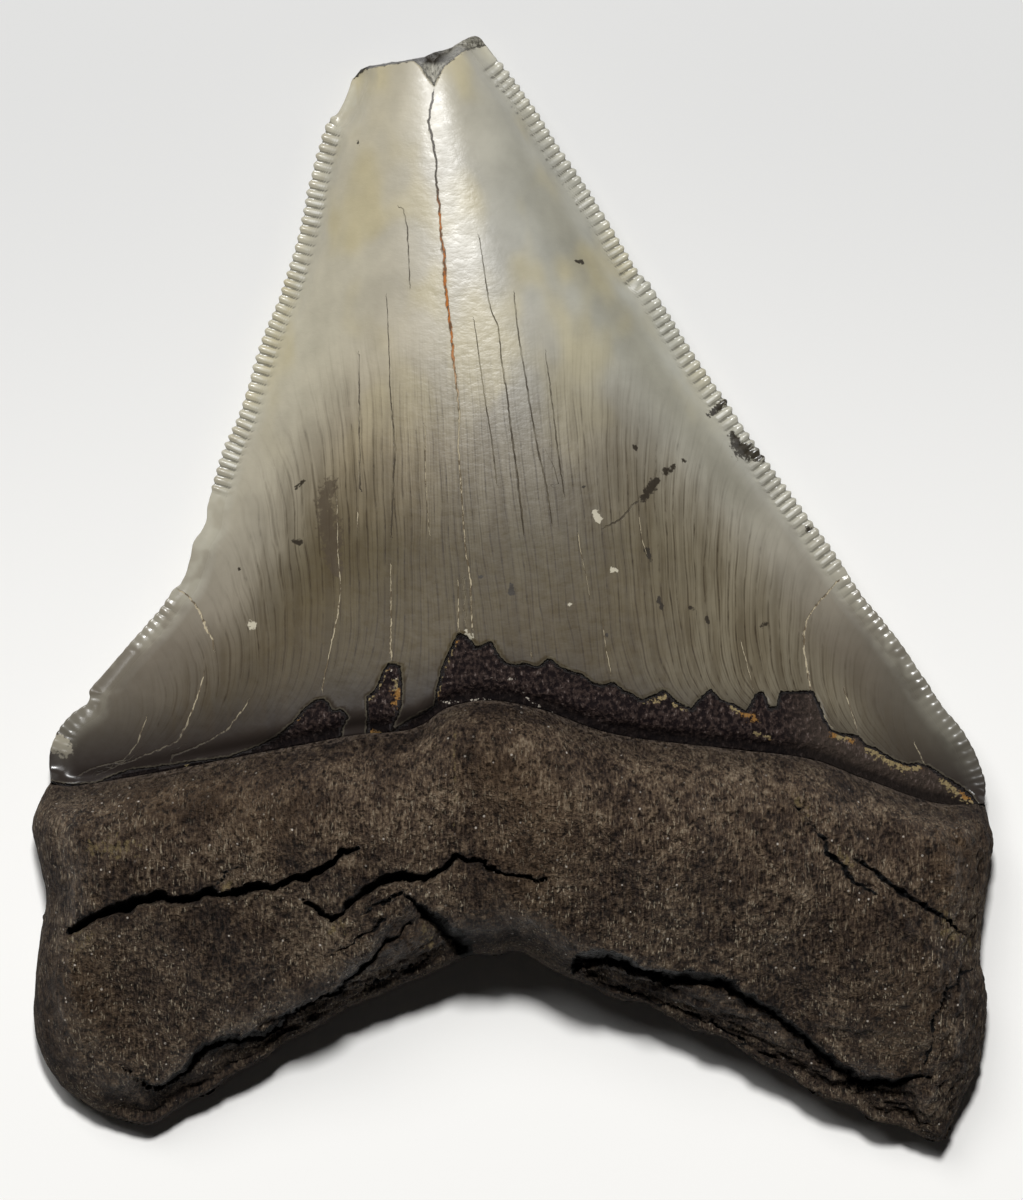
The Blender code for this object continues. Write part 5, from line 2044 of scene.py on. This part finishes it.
    def build(self) -> bpy.types.Object:
        """Makes the closed mesh and dresses it.

        Returns:
            The root's object.
        """
        form = self.form
        plan = self.plan()
        shape = plan.shape[:2]
        points = plan.reshape(-1, 2)
        inside = self.inside(points)
        below = form.below_neck(points)
        share = form.root_share(points)
        slab = (1 - share) * form.crown_top(points) + share * form.root_top(points, inside)
        slab += form.root_lip * np.exp(-np.maximum(below, 0.0) / 1.2)
        slab -= 0.7 * (1 - smoothstep(-0.1, 0.7, below)) * smoothstep(0.5, 2.0, inside)
        drop, gap = self.cracks(points)
        slab -= drop * smoothstep(0.1, 1.2, inside) * smoothstep(0.0, 0.8, below)
        slab = np.maximum(slab, form.rim_height(points) + 0.02)
        flaky = self.flaky(points, inside)
        calm = (smoothstep(-0.05, 0.8, below) * 0.8 + 0.2) * (0.45 + 0.55 * smoothstep(0.1, 1.0, inside))
        grid = np.dstack([plan, slab.reshape(shape)])
        grid = self.raise_detail(grid, flaky, calm)
        unders = np.minimum(form.under(points, inside), form.rim_height(points) - 0.02)
        beneath = np.dstack([plan, unders.reshape(shape)])
        lifted = self.raise_detail(beneath, 0.6 * flaky, calm * smoothstep(0.3, 3.0, unders))
        beneath = np.dstack([plan, np.maximum(2 * beneath[..., 2] - lifted[..., 2], 0.0)])
        beneath[[0, -1], :, :2] = grid[[0, -1], :, :2]
        beneath[:, 0, :2] = grid[:, 0, :2]

        upper = Patch(self.columns, self.rows)
        lower = Patch(self.columns, self.rows, start=len(points))
        step = self.coarse
        everywhere = {side: 1 for side in Side}
        faces = upper.block((0, self.columns), (0, self.rows), (1, 1))
        turned = lower.block((0, self.columns), (0, self.rows), (step, step), everywhere)
        faces += [part[:, ::-1] for part in turned]
        solid = np.vstack([grid.reshape(-1, 3), beneath.reshape(-1, 3)])
        over, under = upper.rim(), lower.rim()
        faces += between(over, under, len(solid), self.wall_levels)
        parts = np.arange(1, self.wall_levels) / self.wall_levels
        levels = [(1 - part) * solid[over] + part * solid[under] for part in parts]
        fields = {
            "gap": gap,
            "silt": cover(points, ROOT_TAN),
            "warm": np.maximum(cover(points, ROOT_WARM), -1.0),
            "rim": inside,
            "neck": below,
        }
        fields = spread_fields(fields, over, self.wall_levels, hidden=("gap", "silt"))
        made = make_mesh("tooth_root", np.vstack([solid] + levels), faces, fields)
        made.data.materials.append(FossilRoot().build())
        return made


@dataclass(frozen=True)
class Lamp:
    """A round soft lamp; its azimuth is measured from +Y towards +X."""

    name: str
    elevation_deg: float
    azimuth_deg: float
    distance_mm: float
    size_mm: float
    watts: float


# A key lamp beyond the tip and a broad soft light from the left
LAMPS: tuple[Lamp, ...] = (
    Lamp("key_lamp", 64.5, -2.0, 1800.0, 240.0, 28.0),
    Lamp("window_light", 53.0, -30.0, 1800.0, 900.0, 8.8),
)


@dataclass
class Studio:
    """The pale floor, the soft light from beyond the tip, and the camera straight above."""

    picture_height_mm: float = 120.0
    centre_mm: tuple[float, float, float] = (-0.1, -1.1, 7.0)
    camera_height_mm: float = 1500.0
    sensor_mm: float = 36.0
    room_strength: float = 0.012
    floor_half_m: float = 3.0
    paper_painted_light: str = "#fcfbf8"
    paper_painted_dim: str = "#dcdcdb"

    def camera(self) -> None:
        """Sets the camera above the tooth, with the lens that frames the picture's height."""
        data = bpy.data.cameras.new("camera")
        data.sensor_width = self.sensor_mm
        data.lens = self.sensor_mm * self.camera_height_mm / self.picture_height_mm
        data.clip_start = 0.05
        data.clip_end = 20.0
        made = bpy.data.objects.new("camera", data)
        made.location = (Vector(self.centre_mm) + Vector((0.0, 0.0, self.camera_height_mm))) * MM
        bpy.context.scene.collection.objects.link(made)
        bpy.context.scene.camera = made

    def floor(self) -> None:
        """Lays a plain pale sheet under the tooth, with painted light: dimmer beyond the tip, brighter
        towards the root.
        """
        half = self.floor_half_m
        corners = [(-half, -half, 0.0), (half, -half, 0.0), (half, half, 0.0), (-half, half, 0.0)]
        mesh = bpy.data.meshes.new("paper_floor")
        mesh.from_pydata(corners, [], [(0, 1, 2, 3)])
        made = bpy.data.objects.new("paper_floor", mesh)
        ground = Ground.of("white_paper_matt")
        # Painted light falloff across the sheet: dimmer beyond the tip
        paper = Layers.of_colour(ground.tree, self.paper_painted_dim)
        paper.lay(self.paper_painted_light, (ground.y, 58.0, -40.0))
        mesh.materials.append(ground.dress({"Base Color": paper.colour, "Roughness": 0.9}))
        bpy.context.scene.collection.objects.link(made)

    def lamp(self, lamp: Lamp) -> None:
        """Hangs one lamp, aimed at the tooth.

        Args:
            lamp: where it hangs, how wide it is and how bright.
        """
        data = bpy.data.lights.new(lamp.name, "AREA")
        data.shape = "DISK"
        data.size = lamp.size_mm * MM
        data.energy = lamp.watts
        made = bpy.data.objects.new(lamp.name, data)
        up, turn = np.radians(lamp.elevation_deg), np.radians(lamp.azimuth_deg)
        toward = Vector((np.sin(turn) * np.cos(up), np.cos(turn) * np.cos(up), np.sin(up)))
        made.location = toward * lamp.distance_mm * MM
        made.rotation_euler = toward.to_track_quat("Z", "Y").to_euler()
        bpy.context.scene.collection.objects.link(made)

    def lights(self) -> None:
        """Adds the lamps and the even light of the room."""
        for lamp in LAMPS:
            self.lamp(lamp)
        world = bpy.data.worlds.new("room_light")
        world.use_nodes = True
        background = world.node_tree.nodes["Background"]
        background.inputs["Color"].default_value = (1.0, 1.0, 1.0, 1.0)
        background.inputs["Strength"].default_value = self.room_strength
        bpy.context.scene.world = world
        bpy.context.scene.view_settings.view_transform = "Standard"

    def build(self) -> None:
        """Builds the camera, the floor and the lights."""
        self.camera()
        self.floor()
        self.lights()


def main() -> None:
    """Builds the studio and the tooth's two pieces, and reports each one."""
    logging.basicConfig(level=logging.INFO, format="%(message)s")
    Studio().build()
    form = ToothForm()
    for part, slot in ((EnamelCrown(form), "enamel"), (CrackedRoot(form), "root")):
        piece = part.build()
        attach(piece, "root")
        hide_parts("tooth")
        faces = sum(len(face.vertices) - 2 for face in piece.data.polygons)
        logging.info("%s: %d triangles", piece.name, faces)


if __name__ == "__main__":
    main()
